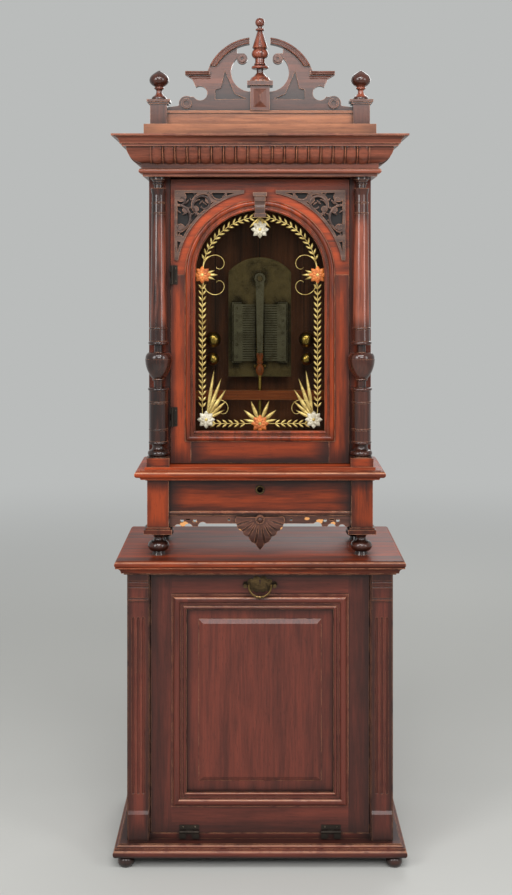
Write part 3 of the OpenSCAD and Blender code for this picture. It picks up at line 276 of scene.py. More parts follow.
class Finish:
    """The node tree of one material, or of the room."""

    def __init__(self, name, owner=None):
        self.owner = owner or bpy.data.materials.new(name)
        self.owner.use_nodes = True
        self.tree = self.owner.node_tree
        self.tree.nodes.clear()

    @cached_property
    def place(self):
        """Where a point lies on the piece."""
        return self.node("TexCoord", out="Object")

    def node(self, kind, settings=None, sockets=None, out=0):
        """Adds a node: its settings first, then the values or wires of its sockets."""
        made = self.tree.nodes.new("ShaderNode" + kind)
        for name, value in (settings or {}).items():
            setattr(made, name, value)
        for name, value in (sockets or {}).items():
            if isinstance(value, Wire):
                self.tree.links.new(value.socket, made.inputs[name])
            else:
                made.inputs[name].default_value = value
        return Wire(self, made.outputs[out]) if made.outputs else None

    def axis(self, name):
        """One of the place's three coordinates."""
        return self.node("SeparateXYZ", {}, {"Vector": self.place}, name)

    def facing(self, name, signed=False):
        """How far the surface looks along an axis, either way unless signed."""
        normal = self.node("TexCoord", out="Normal")
        along = self.node("SeparateXYZ", {}, {"Vector": normal}, name)
        return along if signed else abs(along)

    def blend(self, factor, first, second):
        """Two colours, mixed."""
        ends = [end if isinstance(end, Wire) else (*end, 1) for end in (first, second)]
        return self.node("Mix", {"data_type": "RGBA"}, {0: factor, 6: ends[0], 7: ends[1]}, 2)

    def stretched(self, scale, seed):
        """The place, stretched along the grain and moved to another part of the log."""
        offset = [seed * step for step in LOG_STEP]
        return self.node("Mapping", {}, {"Vector": self.place, "Scale": scale, "Location": offset})

    def noise(self, vector, scale, detail=3.0, distortion=0.0, roughness=0.5):
        """Soft random variation, mostly between 0.3 and 0.7."""
        sockets = {
            "Vector": vector, "Scale": scale, "Detail": detail,
            "Distortion": distortion, "Roughness": roughness,
        }
        return self.node("TexNoise", {}, sockets)

    def hollow(self, reach):
        """1 in the open, 0 deep in a corner."""
        settings = {"samples": HOLLOW_SAMPLES}
        return self.node("AmbientOcclusion", settings, {"Distance": reach}, "AO")

    def edge(self, width):
        """1 on a sharp edge, 0 away from it."""
        bevel = self.node("Bevel", {"samples": EDGE_SAMPLES}, {"Radius": width})
        plain = self.node("NewGeometry", {}, {}, "Normal")
        settings = {"operation": "DOT_PRODUCT"}
        agree = self.node("VectorMath", settings, {0: bevel, 1: plain}, "Value")
        return (1 - agree).step(*EDGE_SPAN)

    def bump(self, height, strength, distance):
        """A normal that follows a height."""
        sockets = {"Height": height, "Strength": strength, "Distance": distance}
        return self.node("Bump", {}, sockets)

    def principled(self, **sockets):
        """The finished surface; underscores in the names stand for spaces."""
        named = {name.replace("_", " "): value for name, value in sockets.items()}
        base = named["Base Color"]
        if not isinstance(base, Wire):
            named["Base Color"] = (*base, 1)
        return self.node("BsdfPrincipled", {}, named)

    def done(self, surface):
        """Ends the material and gives it."""
        self.node("OutputMaterial", {}, {"Surface": surface})
        return self.owner


# Seeds between the rails and the stiles of a frame
STILE_SEED = 3


def grain_places(mix, grain, seed):
    """The stretched place for a board, or for a frame whose rails lie between its stiles."""
    if grain in ALONG:
        return mix.stretched(ALONG[grain], seed)
    rail_half = grain
    on_stile = abs(mix.axis("X")) > rail_half
    rails = mix.stretched(ALONG["X"], seed)
    stiles = mix.stretched(ALONG["Z"], seed + STILE_SEED)
    return mix.node("Mix", {"data_type": "VECTOR"}, {0: on_stile, 4: rails, 5: stiles}, 1)


# Nodes with a left and a right board, each with margins of its own
PAIRED = (
    "case_posts", "base_panels", "column_blocks", "case_sides", "case_stiles", "door_stiles",
    "cabinet_sides", "cabinet_stiles", "pilasters", "pedestals",
)
# Boards thinner than this have no margin that way; widest margin as a share of a board
THIN_BOARD = 30 * MM
WIDEST_MARGIN = 0.35
# A face has no margin along the axis that it looks along
FACE_CLEAR = 4
# Noise that lets the margin wander, and how far
MARGIN_NOISE = (9, 3)
MARGIN_WANDER = 0.9


def margin(mix, node, reach):
    """0 along the edges of a node's boards, 1 further in than the reach."""
    low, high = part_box(node)
    inner = -high.x
    if node in PAIRED:
        inner = min(abs(vertex.co.x) for vertex in NODES[node].data.vertices)
    spans = {
        "X": (abs(mix.axis("X")), inner, high.x),
        "Y": (mix.axis("Y"), low.y, high.y),
        "Z": (mix.axis("Z"), low.z, high.z),
    }
    wander = (mix.noise(mix.place, *MARGIN_NOISE) - 0.5) * MARGIN_WANDER
    nearest = None
    for name, (at, start, end) in spans.items():
        if end - start < THIN_BOARD:
            continue
        near = min(reach, WIDEST_MARGIN * (end - start))
        share = (at - start).least(end - at) / near + mix.facing(name) * FACE_CLEAR + wander
        nearest = share if nearest is None else nearest.least(share)
    return nearest.step(0.0, 1.0)


# How soft a shaft's ends are, in shares of the piece's height
SHAFT_SPAN = (-0.02, 0.05)


def shaft_zone(mix, node, foot, head):
    """1 on the middle of a turned piece, 0 on the turnings at its ends; shares of its height."""
    low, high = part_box(node)
    up = (mix.axis("Z") - low.z) / (high.z - low.z)
    return (up - foot).step(*SHAFT_SPAN) * (head - up).step(*SHAFT_SPAN)


# Where the dark line of a joint begins and is full, in widths from a plank's middle
JOINT_SPAN = (0.488, 0.496)


def plank_joints(mix, wide):
    """1 along the joints of upright planks."""
    return abs((mix.axis("X") / wide).part() - 0.5).step(*JOINT_SPAN)


# Noise of a chip's ragged edge and its strength, a chip's reach in radii, and height over width
CHIP_NOISE = (160, 3)
CHIP_RAGGED = 1.1
CHIP_REACH = 1.45
CHIP_FLAT = 0.62
CHIP_SPAN = (-0.04, 0.06)
CHIP_FACING = (0.2, 0.6)


def chipped(mix, chips):
    """1 where small flakes are off: rows of x, z and radius in millimetres."""
    ragged = mix.noise(mix.place, *CHIP_NOISE) * CHIP_RAGGED
    front = mix.facing("Y").step(*CHIP_FACING)
    flakes = None
    for across, up, radius in chips:
        aside = (mix.axis("X") - across * MM) / (radius * MM)
        above = (mix.axis("Z") - up * MM) / (radius * CHIP_FLAT * MM)
        away = (aside * aside + above * above) ** 0.5
        flake = (CHIP_REACH - away - ragged).step(*CHIP_SPAN)
        flakes = flake if flakes is None else flakes.most(flake)
    return flakes * front


# Noise of the wood: scale, detail, distortion and roughness
FIGURE = (7, 6, 1.4, 0.55)
STREAK = (46, 5, 0.3, 0.62)
FINE = (210, 3)
PORE = (760, 2)
CLOUD = (5.5, 3)
PATCH = (38, 4, 0.4)
# Share of figure, streak and fine grain in the ripple, and the rest of a figure held back
RIPPLE_SHARES = (0.5, 0.42, 0.2)
RIPPLE_REST = 0.25
# Where each mask begins and where it is full
RIPPLE_SPAN = (0.42, 0.70)
PORE_SPAN = (0.62, 0.7)
SUNK_DEPTH = (1 * MM, 4 * MM)
SUNK_FACING = (0.6, 0.9)
GATHER_SPAN = (0.06, 0.62)
PATCH_SPAN = (0.30, 0.58)
RUB_OPEN = (0.35, 0.8)
NOSE_OPEN = (0.4, 0.8)
NOSE_RISE = (0.3, 0.5)
NOSE_FLAT = (0.62, 0.85)
# Most that each mask may hide
PORE_SHARE = 0.4
TURNING_SHARE = 0.8
JOINT_SHARE = 0.85
GATHER_SHARE = 0.88
RUB_SHARE = 0.8
# How much painted highlight shows on a nose where its patches are least
NOSE_LEAST = 0.4
# What figure, clouds, rubbed edges and corners add to the roughness
ROUGH_SHARES = (0.05, 0.1, 0.12, 0.1)
# Strength and depth of the pores
PORE_BUMP = 0.12
PORE_DEPTH = 0.6 * MM
# Reflection of the wood, and roughness of the polish over it
WOOD_SPECULAR = 0.3
POLISH_ROUGHNESS = 0.09


def wood(name, tone, grain, seed, node=None, gloss=0.32, worn=1.0, stained=1.0, burst=0.0,
         shaft=None, planks=False, noses=0.0, sunk=None, varied=1.0, polish=0.22, chips=(),
         aged=0.0):
    """Polished wood: figure, streaks, pores, dark margins, worn edges, painted shade, highlights.

    Shares for wear, corners, margins and nose mouldings say how much shows of the worn edges,
    the painted shade in corners, the darkened margins and the painted highlight on a nose. The
    tone shift darkens the tone, or lightens it below 0; on the waist ledge its lightening is
    painted light.
    """
    look = bpy.context.scene.music_box_wood
    light, dark = (
        Vector(getattr(look, tone + end)).lerp(Vector(look.stain), aged)
        for end in ("_light", "_dark")
    )
    mix = Finish(name)
    place = grain_places(mix, grain, seed)
    figure, streak, fine, pore = (mix.noise(place, *kind) for kind in (FIGURE, STREAK, FINE, PORE))
    cloud = mix.noise(mix.place, *CLOUD)
    broad, narrow, thin = RIPPLE_SHARES
    ripple = figure * (broad * varied) + streak * narrow + fine * thin + RIPPLE_REST * (1 - varied)
    ripple = ripple.step(*RIPPLE_SPAN)

    stains = [pore.step(*PORE_SPAN) * PORE_SHARE]
    # Each board darker towards its edges
    if burst:
        stains.append((1 - margin(mix, node, look.burst_reach)) * burst)
    if shaft:
        stains.append((1 - shaft_zone(mix, node, *shaft)) * TURNING_SHARE)
    if planks:
        stains.append(plank_joints(mix, look.plank_wide) * JOINT_SHARE)
    # Painted shade on front faces that lie behind the given face
    if sunk:
        face, share = sunk
        forward = -1 * mix.facing("Y", signed=True)
        below = (mix.axis("Y") - face).step(*SUNK_DEPTH) * forward.step(*SUNK_FACING)
        stains.append(below * share)
    # Painted shade in corners, where ambient occlusion finds them
    open_air = mix.hollow(look.corner_reach)
    gather = (1 - open_air).step(*GATHER_SPAN) * (stained * GATHER_SHARE)
    body = mix.blend(ripple, dark, light)
    # Pores, margins, turnings, joints and painted shade all darken towards one colour
    for stain in (*stains, gather):
        body = mix.blend(stain, body, look.stain)

    patchy = mix.noise(mix.place, *PATCH).step(*PATCH_SPAN)
    rub = mix.edge(look.rub_width) * open_air.step(*RUB_OPEN) * patchy
    body = mix.blend(rub * (RUB_SHARE * worn), body, look.rubbed)
    # Painted highlight along the upward rounded nose of a moulding, where lamps above would catch
    # it
    if noses:
        upward = mix.facing("Z", signed=True)
        round_top = upward.step(*NOSE_RISE) * (1 - upward.step(*NOSE_FLAT))
        patches = NOSE_LEAST + patchy * (1 - NOSE_LEAST)
        bare = round_top * open_air.step(*NOSE_OPEN) * patches * noses
        body = mix.blend(bare, body, look.rubbed)
    if chips:
        body = mix.blend(chipped(mix, chips), body, look.chipped)
    rough = gloss
    for share, mask in zip(ROUGH_SHARES, (ripple, cloud, rub, gather)):
        rough = rough + mask * share
    surface = mix.principled(
        Base_Color=body,
        Roughness=rough,
        Normal=mix.bump(pore * 0.5 + fine * 0.5, PORE_BUMP, PORE_DEPTH),
        Specular_IOR_Level=WOOD_SPECULAR,
        Coat_Weight=polish,
        Coat_Roughness=POLISH_ROUGHNESS,
    )
    return mix.done(surface)


# Inner and outer radius of the band of tracks, and how soft its ends are
DISC_BAND = (67 * MM, 226 * MM)
BAND_SOFT = 1 * MM
# Share of the places that stay unpunched, half a slot's height and length in its place, soft edge
UNPUNCHED = 0.6
SLOT_HIGH = 0.22
SLOT_LONG = 0.3
SLOT_SPAN = (-0.02, 0.02)


def punched(mix, node, track, slot):
    """1 in the slots punched along a disc's tracks, placed as a tune would place them."""
    low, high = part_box(node)
    across = mix.axis("X") - (low.x + high.x) / 2
    up = mix.axis("Z") - (low.z + high.z) / 2
    out = (across * across + up * up) ** 0.5
    row = out / track
    turn = across.maths("ARCTAN2", up, across)
    along = turn * (row.whole() * (track / slot))
    cell = mix.node("CombineXYZ", {}, {"X": row.whole(), "Y": along.whole(), "Z": 0.5})
    chosen = mix.node("TexWhiteNoise", {}, {"Vector": cell}, "Value") > UNPUNCHED
    inside = (SLOT_HIGH - abs(row.part() - 0.5)).step(*SLOT_SPAN)
    inside = inside * (SLOT_LONG - abs(along.part() - 0.5)).step(*SLOT_SPAN)
    begins, ends = (out.step(end - BAND_SOFT, end + BAND_SOFT) for end in DISC_BAND)
    return chosen * inside * begins * (1 - ends)


# Noise of tarnish and scratches, reach of the tarnish in corners, width of a bright edge
TARNISH = (34, 5, 0.6, 0.6)
SCRATCH = (420, 3)
TARNISH_REACH = 20 * MM
BRIGHT_EDGE = 1.2 * MM
# Share of clouds, scratches and corners in the tarnish
TARNISH_SHARES = (0.7, 0.3, 0.8)
# Where the tarnish begins and is full on new metal, and how much sooner on the oldest
TARNISH_SPAN = (0.75, 1.05)
TARNISH_SOONER = (0.6, 0.4)
# Most that a bright edge and a slot may hide
BRIGHT_SHARE = 0.6
SLOT_SHARE = 0.9
# What is seen through a slot in a disc, and its depth by that of a scratch
SLOT_SHADE = (0.01, 0.008, 0.006)
SLOT_DEEP = 6
# What tarnish and scratches add to the roughness, and strength and depth of the scratches
METAL_ROUGH_SHARES = (0.24, 0.08)
SCRATCH_BUMP = 0.08
SCRATCH_DEPTH = 0.4 * MM


def metal(name, clean, tarnish, gloss=0.28, age=0.5, shine=1.0, slots=None):
    """Aged metal: tarnish in clouds and hollows, bright rubbed edges, fine scratches."""
    mix = Finish(name)
    cloud = mix.noise(mix.place, *TARNISH)
    speck = mix.noise(mix.place, *SCRATCH)
    open_air = mix.hollow(TARNISH_REACH)
    cloudy, scratched, cornered = TARNISH_SHARES
    dull = cloud * cloudy + speck * scratched + (1 - open_air) * cornered
    begins, full = (at - age * sooner for at, sooner in zip(TARNISH_SPAN, TARNISH_SOONER))
    dull = dull.step(begins, full)
    rub = mix.edge(BRIGHT_EDGE) * open_air
    body = mix.blend(dull, clean, tarnish)
    body = mix.blend(rub * BRIGHT_SHARE, body, clean)
    height = speck
    if slots:
        holes = punched(mix, *slots)
        body = mix.blend(holes * SLOT_SHARE, body, SLOT_SHADE)
        height = speck - holes * SLOT_DEEP
    by_tarnish, by_scratch = METAL_ROUGH_SHARES
    rough = gloss + dull * by_tarnish + speck * by_scratch
    relief = mix.bump(height, SCRATCH_BUMP, SCRATCH_DEPTH)
    surface = mix.principled(Base_Color=body, Roughness=rough, Metallic=shine, Normal=relief)
    return mix.done(surface)


# Noise of the film and of the waves on old glass, its refraction, and the dark base of its gloss
FILM = (14, 4, 0.5)
FILM_SPAN = (0.4, 0.8)
WAVE = (11, 1)
GLASS_IOR = 1.45
GLOSS_BASE = (0.02, 0.02, 0.02)
# Strength and height of the waves, roughness of the glass and what the film adds to it
WAVE_BUMP = 0.04
WAVE_HIGH = 4 * MM
GLASS_ROUGHNESS = 0.04
FILM_ROUGHNESS = 0.05
# How much of the mirrored light and of the film shows
MIRROR_SHARE = 0.9
FILM_SHARE = 0.02


def pane(name, tint):
    """Old flat glass: clear, with a faint film and mirrored light at a slant."""
    mix = Finish(name)
    film = mix.noise(mix.place, *FILM).step(*FILM_SPAN)
    wave = mix.bump(mix.noise(mix.place, *WAVE), WAVE_BUMP, WAVE_HIGH)
    mirror = mix.node("Fresnel", {}, {"IOR": GLASS_IOR, "Normal": wave})
    outside = 1 - mix.node("NewGeometry", {}, {}, "Backfacing")
    clear = mix.node("BsdfTransparent", {}, {"Color": (*tint, 1)})
    rough = GLASS_ROUGHNESS + film * FILM_ROUGHNESS
    gloss = mix.principled(Base_Color=GLOSS_BASE, Roughness=rough, Normal=wave)
    share = (mirror * MIRROR_SHARE + film * FILM_SHARE) * outside
    return mix.done(mix.node("MixShader", {}, {0: share, 1: clear, 2: gloss}))


def coat(material, *nodes):
    """Gives a material to CAD pieces."""
    for node in nodes:
        for slot in NODES[node].material_slots:
            slot.material = material


def dress(node, suffix, tone, grain, seed, **finish):
    """Gives a CAD piece a wood of its own."""
    coat(wood(node + suffix, tone, grain, seed, node, **finish), node)


# Boards by tone: how dark their margins are, how lively the figure is, and the grain of each
BOARD_SETS = {
    "case": (0.62, 1.0, {
        "case_posts": "Z", "base_panels": "X", "winding_panel": "X", "waist_ledge": "X",
        "column_blocks": "X", "case_sides": "Z", "case_stiles": "Z", "door_stiles": "Z",
        "door_bottom_rail": "X", "door_moulding": "Z", "cabinet_top": "X",
    }),
    "cabinet": (0.6, 0.6, {
        "cabinet_plinth": "X", "cabinet_sides": "Z", "cabinet_stiles": "Z", "pilasters": "Z",
        "flap_sill": "X", "flap_panel": "Z",
    }),
    "crown": (0.1, 1.0, {"cornice": "X"}),
    "pediment": (0.35, 1.0, {"centre_block": "Z", "pedestals": "Z"}),
}
# Boards whose finish departs from that of their set
SPECIAL = {
    "winding_panel": {"burst": 0.85, "noses": 0.8, "aged": 0.26},
    "door_bottom_rail": {"burst": 0.85, "aged": 0.28},
    "case_posts": {"burst": 0.75, "aged": 0.25},
    "cabinet_stiles": {"burst": 0.35, "aged": -0.15},
    "pilasters": {"burst": 0.7, "worn": 0.5},
    "case_stiles": {"stained": 0.5},
    "cornice": {"stained": 0.75, "noses": 0.3},
    "door_moulding": {"stained": 0.6, "gloss": 0.24},
    "door_stiles": {"stained": 0.75},
    # The waist ledge is lightened as painted light on its lit top, and its nose takes a painted
    # highlight
    "waist_ledge": {
        "aged": -0.3, "stained": 0.15, "burst": 0.0, "noses": 0.8, "gloss": 0.42, "polish": 0.12,
    },
    "cabinet_top": {
        "stained": 0.75, "burst": 0.25, "noses": 0.45, "gloss": 0.46, "polish": 0.08,
    },
    "cabinet_plinth": {"noses": 0.4, "gloss": 0.4, "polish": 0.15},
}
INNER_BOARDS = {"cabinet_floor": "X", "cabinet_back": "Z", "disc_rack": "X", "case_back": "Z"}
PLANKED = ("cabinet_back", "case_back")
OILED = {"gloss": 0.5, "worn": 0.4, "stained": 0.6}
# Turned pieces: shares of the height between which the lacquer is worn to a lighter shaft
LACQUERED = {
    "bun_feet": (2, 3), "case_feet": (2, 3), "columns": (0.47, 0.86),
    "acorn_finials": (0.1, 0.5), "spire": (-1, 2),
}
LACQUER_SEED = 20
# Chips of the apron: x, z and radius in millimetres
APRON_CHIPS = (
    (-190, 836, 12), (-163, 843, 6), (118, 849, 7), (150, 843, 9),
    (184, 838, 7), (-52, 822, 6), (55, 826, 5),
)
# Depth of the pediment's ground behind its arcs, which takes painted shade, and width of the
# flap's moulding
PEDIMENT_GROUND = 7 * MM
FLAP_MOULDING = 40 * MM


class MUSICBOX_OT_polish_woods(bpy.types.Operator):
    """Polish every wooden piece, each with its own board"""

    bl_idname = "musicbox.polish_woods"
    bl_label = "Polish Woods"

    def execute(self, context):
        for tone, (burst, varied, boards) in BOARD_SETS.items():
            for seed, (node, grain) in enumerate(boards.items(), len(tone)):
                finish = {"burst": burst, "varied": varied, **SPECIAL.get(node, {})}
                dress(node, "_polish", tone, grain, seed, **finish)
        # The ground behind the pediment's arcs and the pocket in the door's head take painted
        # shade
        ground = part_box("pediment")[0].y + PEDIMENT_GROUND
        dress("pediment", "_polish", "pediment", "X", 8, burst=0.35, sunk=(ground, 0.6))
        head = {"burst": 0.35, "stained": 0.65, "aged": -0.2}
        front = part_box("door_head")[0].y
        dress("door_head", "_polish", "case", "X", 9, sunk=(front, 1.0), **head)
        rail_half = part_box("flap_moulding")[1].x
        dress("flap_frame", "_polish", "cabinet", rail_half, 11, burst=0.55)
        ring = {"gloss": 0.26, "noses": 0.55, "stained": 1.12, "aged": 0.2}
        dress("flap_moulding", "_polish", "cabinet", rail_half - FLAP_MOULDING, 14, **ring)
        dress("gallery", "_polish", "gallery", "X", 3, gloss=0.4, stained=0.8, burst=0.3)
        for seed, (node, grain) in enumerate(INNER_BOARDS.items()):
            dress(node, "_oil", "inner", grain, seed, planks=node in PLANKED, **OILED)
        for seed, (node, shaft) in enumerate(LACQUERED.items(), LACQUER_SEED):
            dress(node, "_lacquer", "lacquer", "Z", seed, gloss=0.17, shaft=shaft, polish=0.6)
        dress("apron", "_carved", "apron", "X", 30, gloss=0.36, worn=1.2, chips=APRON_CHIPS)
        dress("door_carvings", "_carved", "carving", "X", 31, gloss=0.36, stained=0.7)
        dress("arm_handle", "_polish", "handle", "Z", 41, gloss=0.2)
        # The cross rail's top edge takes a painted highlight
        dress("cross_rail", "_polish", "handle", "X", 43, gloss=0.3, stained=0.4, noses=0.6)
        return {"FINISHED"}


# Metals: clean and dull colour, gloss, age, shine, and the pieces made of it
METALS = {
    "aged_brass": (
        "brass", "brass_tarnish", 0.24, 0.45, 1.0,
        ("bells", "star_wheels", "drive_arbor", "spring_barrel"),
    ),
    "dark_bronze": (
        "bronze", "bronze_tarnish", 0.34, 0.8, 0.85, ("pull_plate", "winding_collar"),
    ),
    "black_hinges": (
        "hinge", "bronze_tarnish", 0.45, 0.9, 0.5,
        ("flap_hinge_leaves", "hinge_butts", "door_hinge_leaves"),
    ),
    "rubbed_bronze": ("bronze", "bronze_tarnish", 0.24, 0.4, 1.0, ("flap_bail",)),
    "aged_steel": (
        "steel", "steel_tarnish", 0.3, 0.6, 1.0,
        ("combs", "pressure_arm", "winding_arbor", "click", "lock_bolt", "governor_fan"),
    ),
    "bronzed_iron": (
        "iron", "iron_dark", 0.42, 0.6, 0.75, ("bedplate", "gantry", "motor_frame", "flap_lock"),
    ),
}


class MUSICBOX_OT_finish_metals(bpy.types.Operator):
    """Finish the movement, the hardware and the pane"""

    bl_idname = "musicbox.finish_metals"
    bl_label = "Finish Metals and Glass"

    def execute(self, context):
        look = context.scene.music_box_metal
        for name, (clean, tarnish, gloss, age, shine, nodes) in METALS.items():
            colours = getattr(look, clean), getattr(look, tarnish)
            coat(metal(name, *colours, gloss, age, shine), *nodes)
        slots = ("tune_discs", look.disc_track, look.disc_slot)
        disc = metal("disc_lacquer", look.disc, look.disc_tarnish, 0.3, 0.5, 0.9, slots)
        coat(disc, "tune_discs")
        coat(pane("old_pane", look.pane), "door_glass")
        return {"FINISHED"}


# Noise of worn places and of brush marks
PAINT_CLOUD = (60, 4, 0.6)
PAINT_SPECK = (500, 3)
PAINT_SPAN = (0.42, 0.72)
# Share of clouds and specks in the wear, and what wear adds to the roughness
PAINT_SHARES = (0.7, 0.4)
PAINT_ROUGHER = 0.2
# Strength and height of the brush marks
BRUSH_BUMP = 0.1
BRUSH_HIGH = 0.2 * MM


def paint(name, light, shade, shine=0.0, gloss=0.4):
    """Gold leaf or paint on glass: worn in clouds and specks."""
    mix = Finish(name)
    cloud = mix.noise(mix.place, *PAINT_CLOUD)
    speck = mix.noise(mix.place, *PAINT_SPECK)
    cloudy, specked = PAINT_SHARES
    worn = (cloud * cloudy + speck * specked).step(*PAINT_SPAN)
    surface = mix.principled(
        Base_Color=mix.blend(worn, light, shade),
        Roughness=gloss + worn * PAINT_ROUGHER,
        Metallic=shine,
        Normal=mix.bump(speck, BRUSH_BUMP, BRUSH_HIGH),
    )
    return mix.done(surface)


def new_piece(name, mesh, material, body):
    """Closes a mesh and makes it a piece that rides a body."""
    bmesh.ops.remove_doubles(mesh, verts=mesh.verts, dist=WELD)
    bmesh.ops.recalc_face_normals(mesh, faces=mesh.faces)
    for face in mesh.faces:
        face.smooth = True
    data = bpy.data.meshes.new(name)
    mesh.to_mesh(data)
    mesh.free()
    data.materials.append(material)
    made = bpy.data.objects.new(name, data)
    bpy.context.scene.collection.objects.link(made)
    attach(made, body)
    return made


def everything(mesh):
    """All vertices, edges and faces of a mesh."""
    return mesh.verts[:] + mesh.edges[:] + mesh.faces[:]


def mirrored(mesh):
    """Adds the left half."""
    bmesh.ops.mirror(mesh, geom=everything(mesh), axis="X", merge_dist=SEAM)


def thickened(mesh, thickness):
    """Gives open leaves and petals a thickness."""
    bmesh.ops.recalc_face_normals(mesh, faces=mesh.faces)
    bmesh.ops.solidify(mesh, geom=mesh.faces[:], thickness=thickness)


def ring(mesh, sides, radius, place):
    """The edges of a new circle."""
    made = bmesh.ops.create_circle(mesh, segments=sides, radius=radius, matrix=place)
    return list({edge for corner in made["verts"] for edge in corner.link_edges})


def swept(mesh, places, widths, flat=1.0, sides=8):
    """A limb of changing width through places in an upright plane."""
    rings = []
    last = len(places) - 1
    flatten = Matrix.Diagonal((1, flat, 1, 1)) @ Matrix.Rotation(math.pi / 2, 4, "Y")
    for index, (place, width) in enumerate(zip(places, widths)):
        ahead = places[min(index + 1, last)] - places[max(index - 1, 0)]
        aim = Matrix.Rotation(-math.atan2(ahead.z, ahead.x), 4, "Y")
        rings.append(ring(mesh, sides, width / 2, Matrix.Translation(place) @ aim @ flatten))
    for first, second in zip(rings, rings[1:]):
        bmesh.ops.bridge_loops(mesh, edges=first + second)
    for end in (rings[0], rings[-1]):
        bmesh.ops.edgeloop_fill(mesh, edges=end)


def spiral(centre, start, sweep, wide, tight, steps=18):
    """Places along a scroll about a centre; angles in degrees from the right, upward."""
    places = []
    for index in range(steps + 1):
        share = index / steps
        angle = math.radians(start + sweep * share)
        radius = wide + (tight - wide) * share
        places.append(centre + radius * Vector((math.cos(angle), 0, math.sin(angle))))
    return places


def taper(first, middle, last, steps=18):
    """Widths that swell from first to middle and thin to last."""
    half = steps / 2
    rise = [first + (middle - first) * index / half for index in range(steps // 2)]
    fall = [middle + (last - middle) * index / half for index in range(steps // 2 + 1)]
    return rise + fall


LEAF_CORNERS = 12


def leaf(mesh, long, wide, lift, place):
    """A pointed leaf, raised along its middle, from the place along its x axis."""
    made = bmesh.ops.create_circle(
        mesh, cap_ends=True, cap_tris=True, segments=LEAF_CORNERS, radius=0.5
    )
    for corner in made["verts"]:
        along = corner.co.x + 0.5
        side = 0
        if abs(corner.co.y) > 0.01:
            side = math.copysign(math.sin(math.pi * along), corner.co.y)
        middle = corner.co.length < 0.01
        corner.co = (along * long, -lift if middle else 0, side * wide / 2)
    bmesh.ops.transform(mesh, matrix=place, verts=made["verts"])


# Petals of a ring, length of an upper petal by that of a lower one, and width by length
PETALS = 8
UPPER_PETAL = 0.64
PETAL_WIDE = 0.6


def rosette(mesh, centre, radius, lift):
    """Two rings of petals, the upper one turned by half a petal."""
    apart = math.tau / PETALS
    for reach, turn, forward in ((radius, 0, 0), (radius * UPPER_PETAL, apart / 2, lift)):
        put = Matrix.Translation(centre - Vector((0, forward, 0)))
        for index in range(PETALS):
            aim = Matrix.Rotation(index * apart + turn, 4, "Y")
            leaf(mesh, reach, reach * PETAL_WIDE, lift, put @ aim)


def stem_course(half, face, foot, spring, corner):
    """The stem's right half: gives place and heading at a distance from the foot's middle.

    The knots are the distances of the foot's middle, the corner, the spring and the crown.
    """
    flat, rise = half - corner, spring - foot - corner
    bend, arch = corner * math.pi / 2, half * math.pi / 2

    def course(distance):
        if distance < flat:
            return Vector((distance, face, foot)), 0.0
        distance -= flat
        if distance < bend:
            turn = distance / corner
            across = flat + corner * math.sin(turn)
            return Vector((across, face, foot + corner * (1 - math.cos(turn)))), turn
        distance -= bend
        if distance < rise:
            return Vector((half, face, foot + corner + distance)), math.pi / 2
        turn = (distance - rise) / half
        place = Vector((half * math.cos(turn), face, spring + half * math.sin(turn)))
        return place, math.pi / 2 + turn

    return course, (0.0, flat + bend / 2, flat + bend + rise, flat + bend + rise + arch)


# Knots of the stem, in the order that stem_course gives them
FOOT, CORNER, SPRING, CROWN = range(4)
# Leaves that spring from a knot: knot, angle in degrees, length and width in millimetres
GLASS_SPRAYS = (
    (FOOT, 14, 44, 9), (FOOT, 40, 54, 10), (FOOT, 68, 62, 10),
    (CORNER, 99, 128, 9), (CORNER, 110, 112, 10), (CORNER, 123, 92, 10),
    (CORNER, 137, 70, 9), (CORNER, 152, 52, 8),
    (SPRING, 200, 34, 7), (SPRING, 160, 34, 7), (SPRING, 180, 40, 8),
    (CROWN, 250, 34, 7), (CROWN, 225, 38, 7),
)
# Tendrils: knot and which way they curl
TENDRILS = ((SPRING, 1), (SPRING, -1), (CORNER, 1))
TENDRIL_HUB = (-38 * MM, 24 * MM)
TENDRIL_RADII = (38 * MM, 5 * MM)
TENDRIL_ANGLES = (-32, 330)
TENDRIL_WIDTHS = (2.2 * MM, 1.8 * MM, 0.9 * MM)
TENDRIL_STEPS = 30
STEM_STEP = 6 * MM
STEM_SIDES = 6
STEM_FLAT = 0.15
LEAF_SLANT = 0.62
# Rosettes at the knots, by colour; the crown's hangs lower by a share of its radius
ROSETTES = {"cream": (CORNER, CROWN), "orange": (FOOT, SPRING)}
CROWN_DROP = 1.35
# Layers of foil under the petals, in a petal's rise and under the button
PETAL_LAYERS = 3
PETAL_RISE = 2
BUTTON_LAYERS = 5
# Button: radius by that of its rosette, height by its own, and corners round it and over it
BUTTON_SHARE = 0.17
BUTTON_FLAT = 0.25
BUTTON_ROUND = 12
BUTTON_OVER = 8


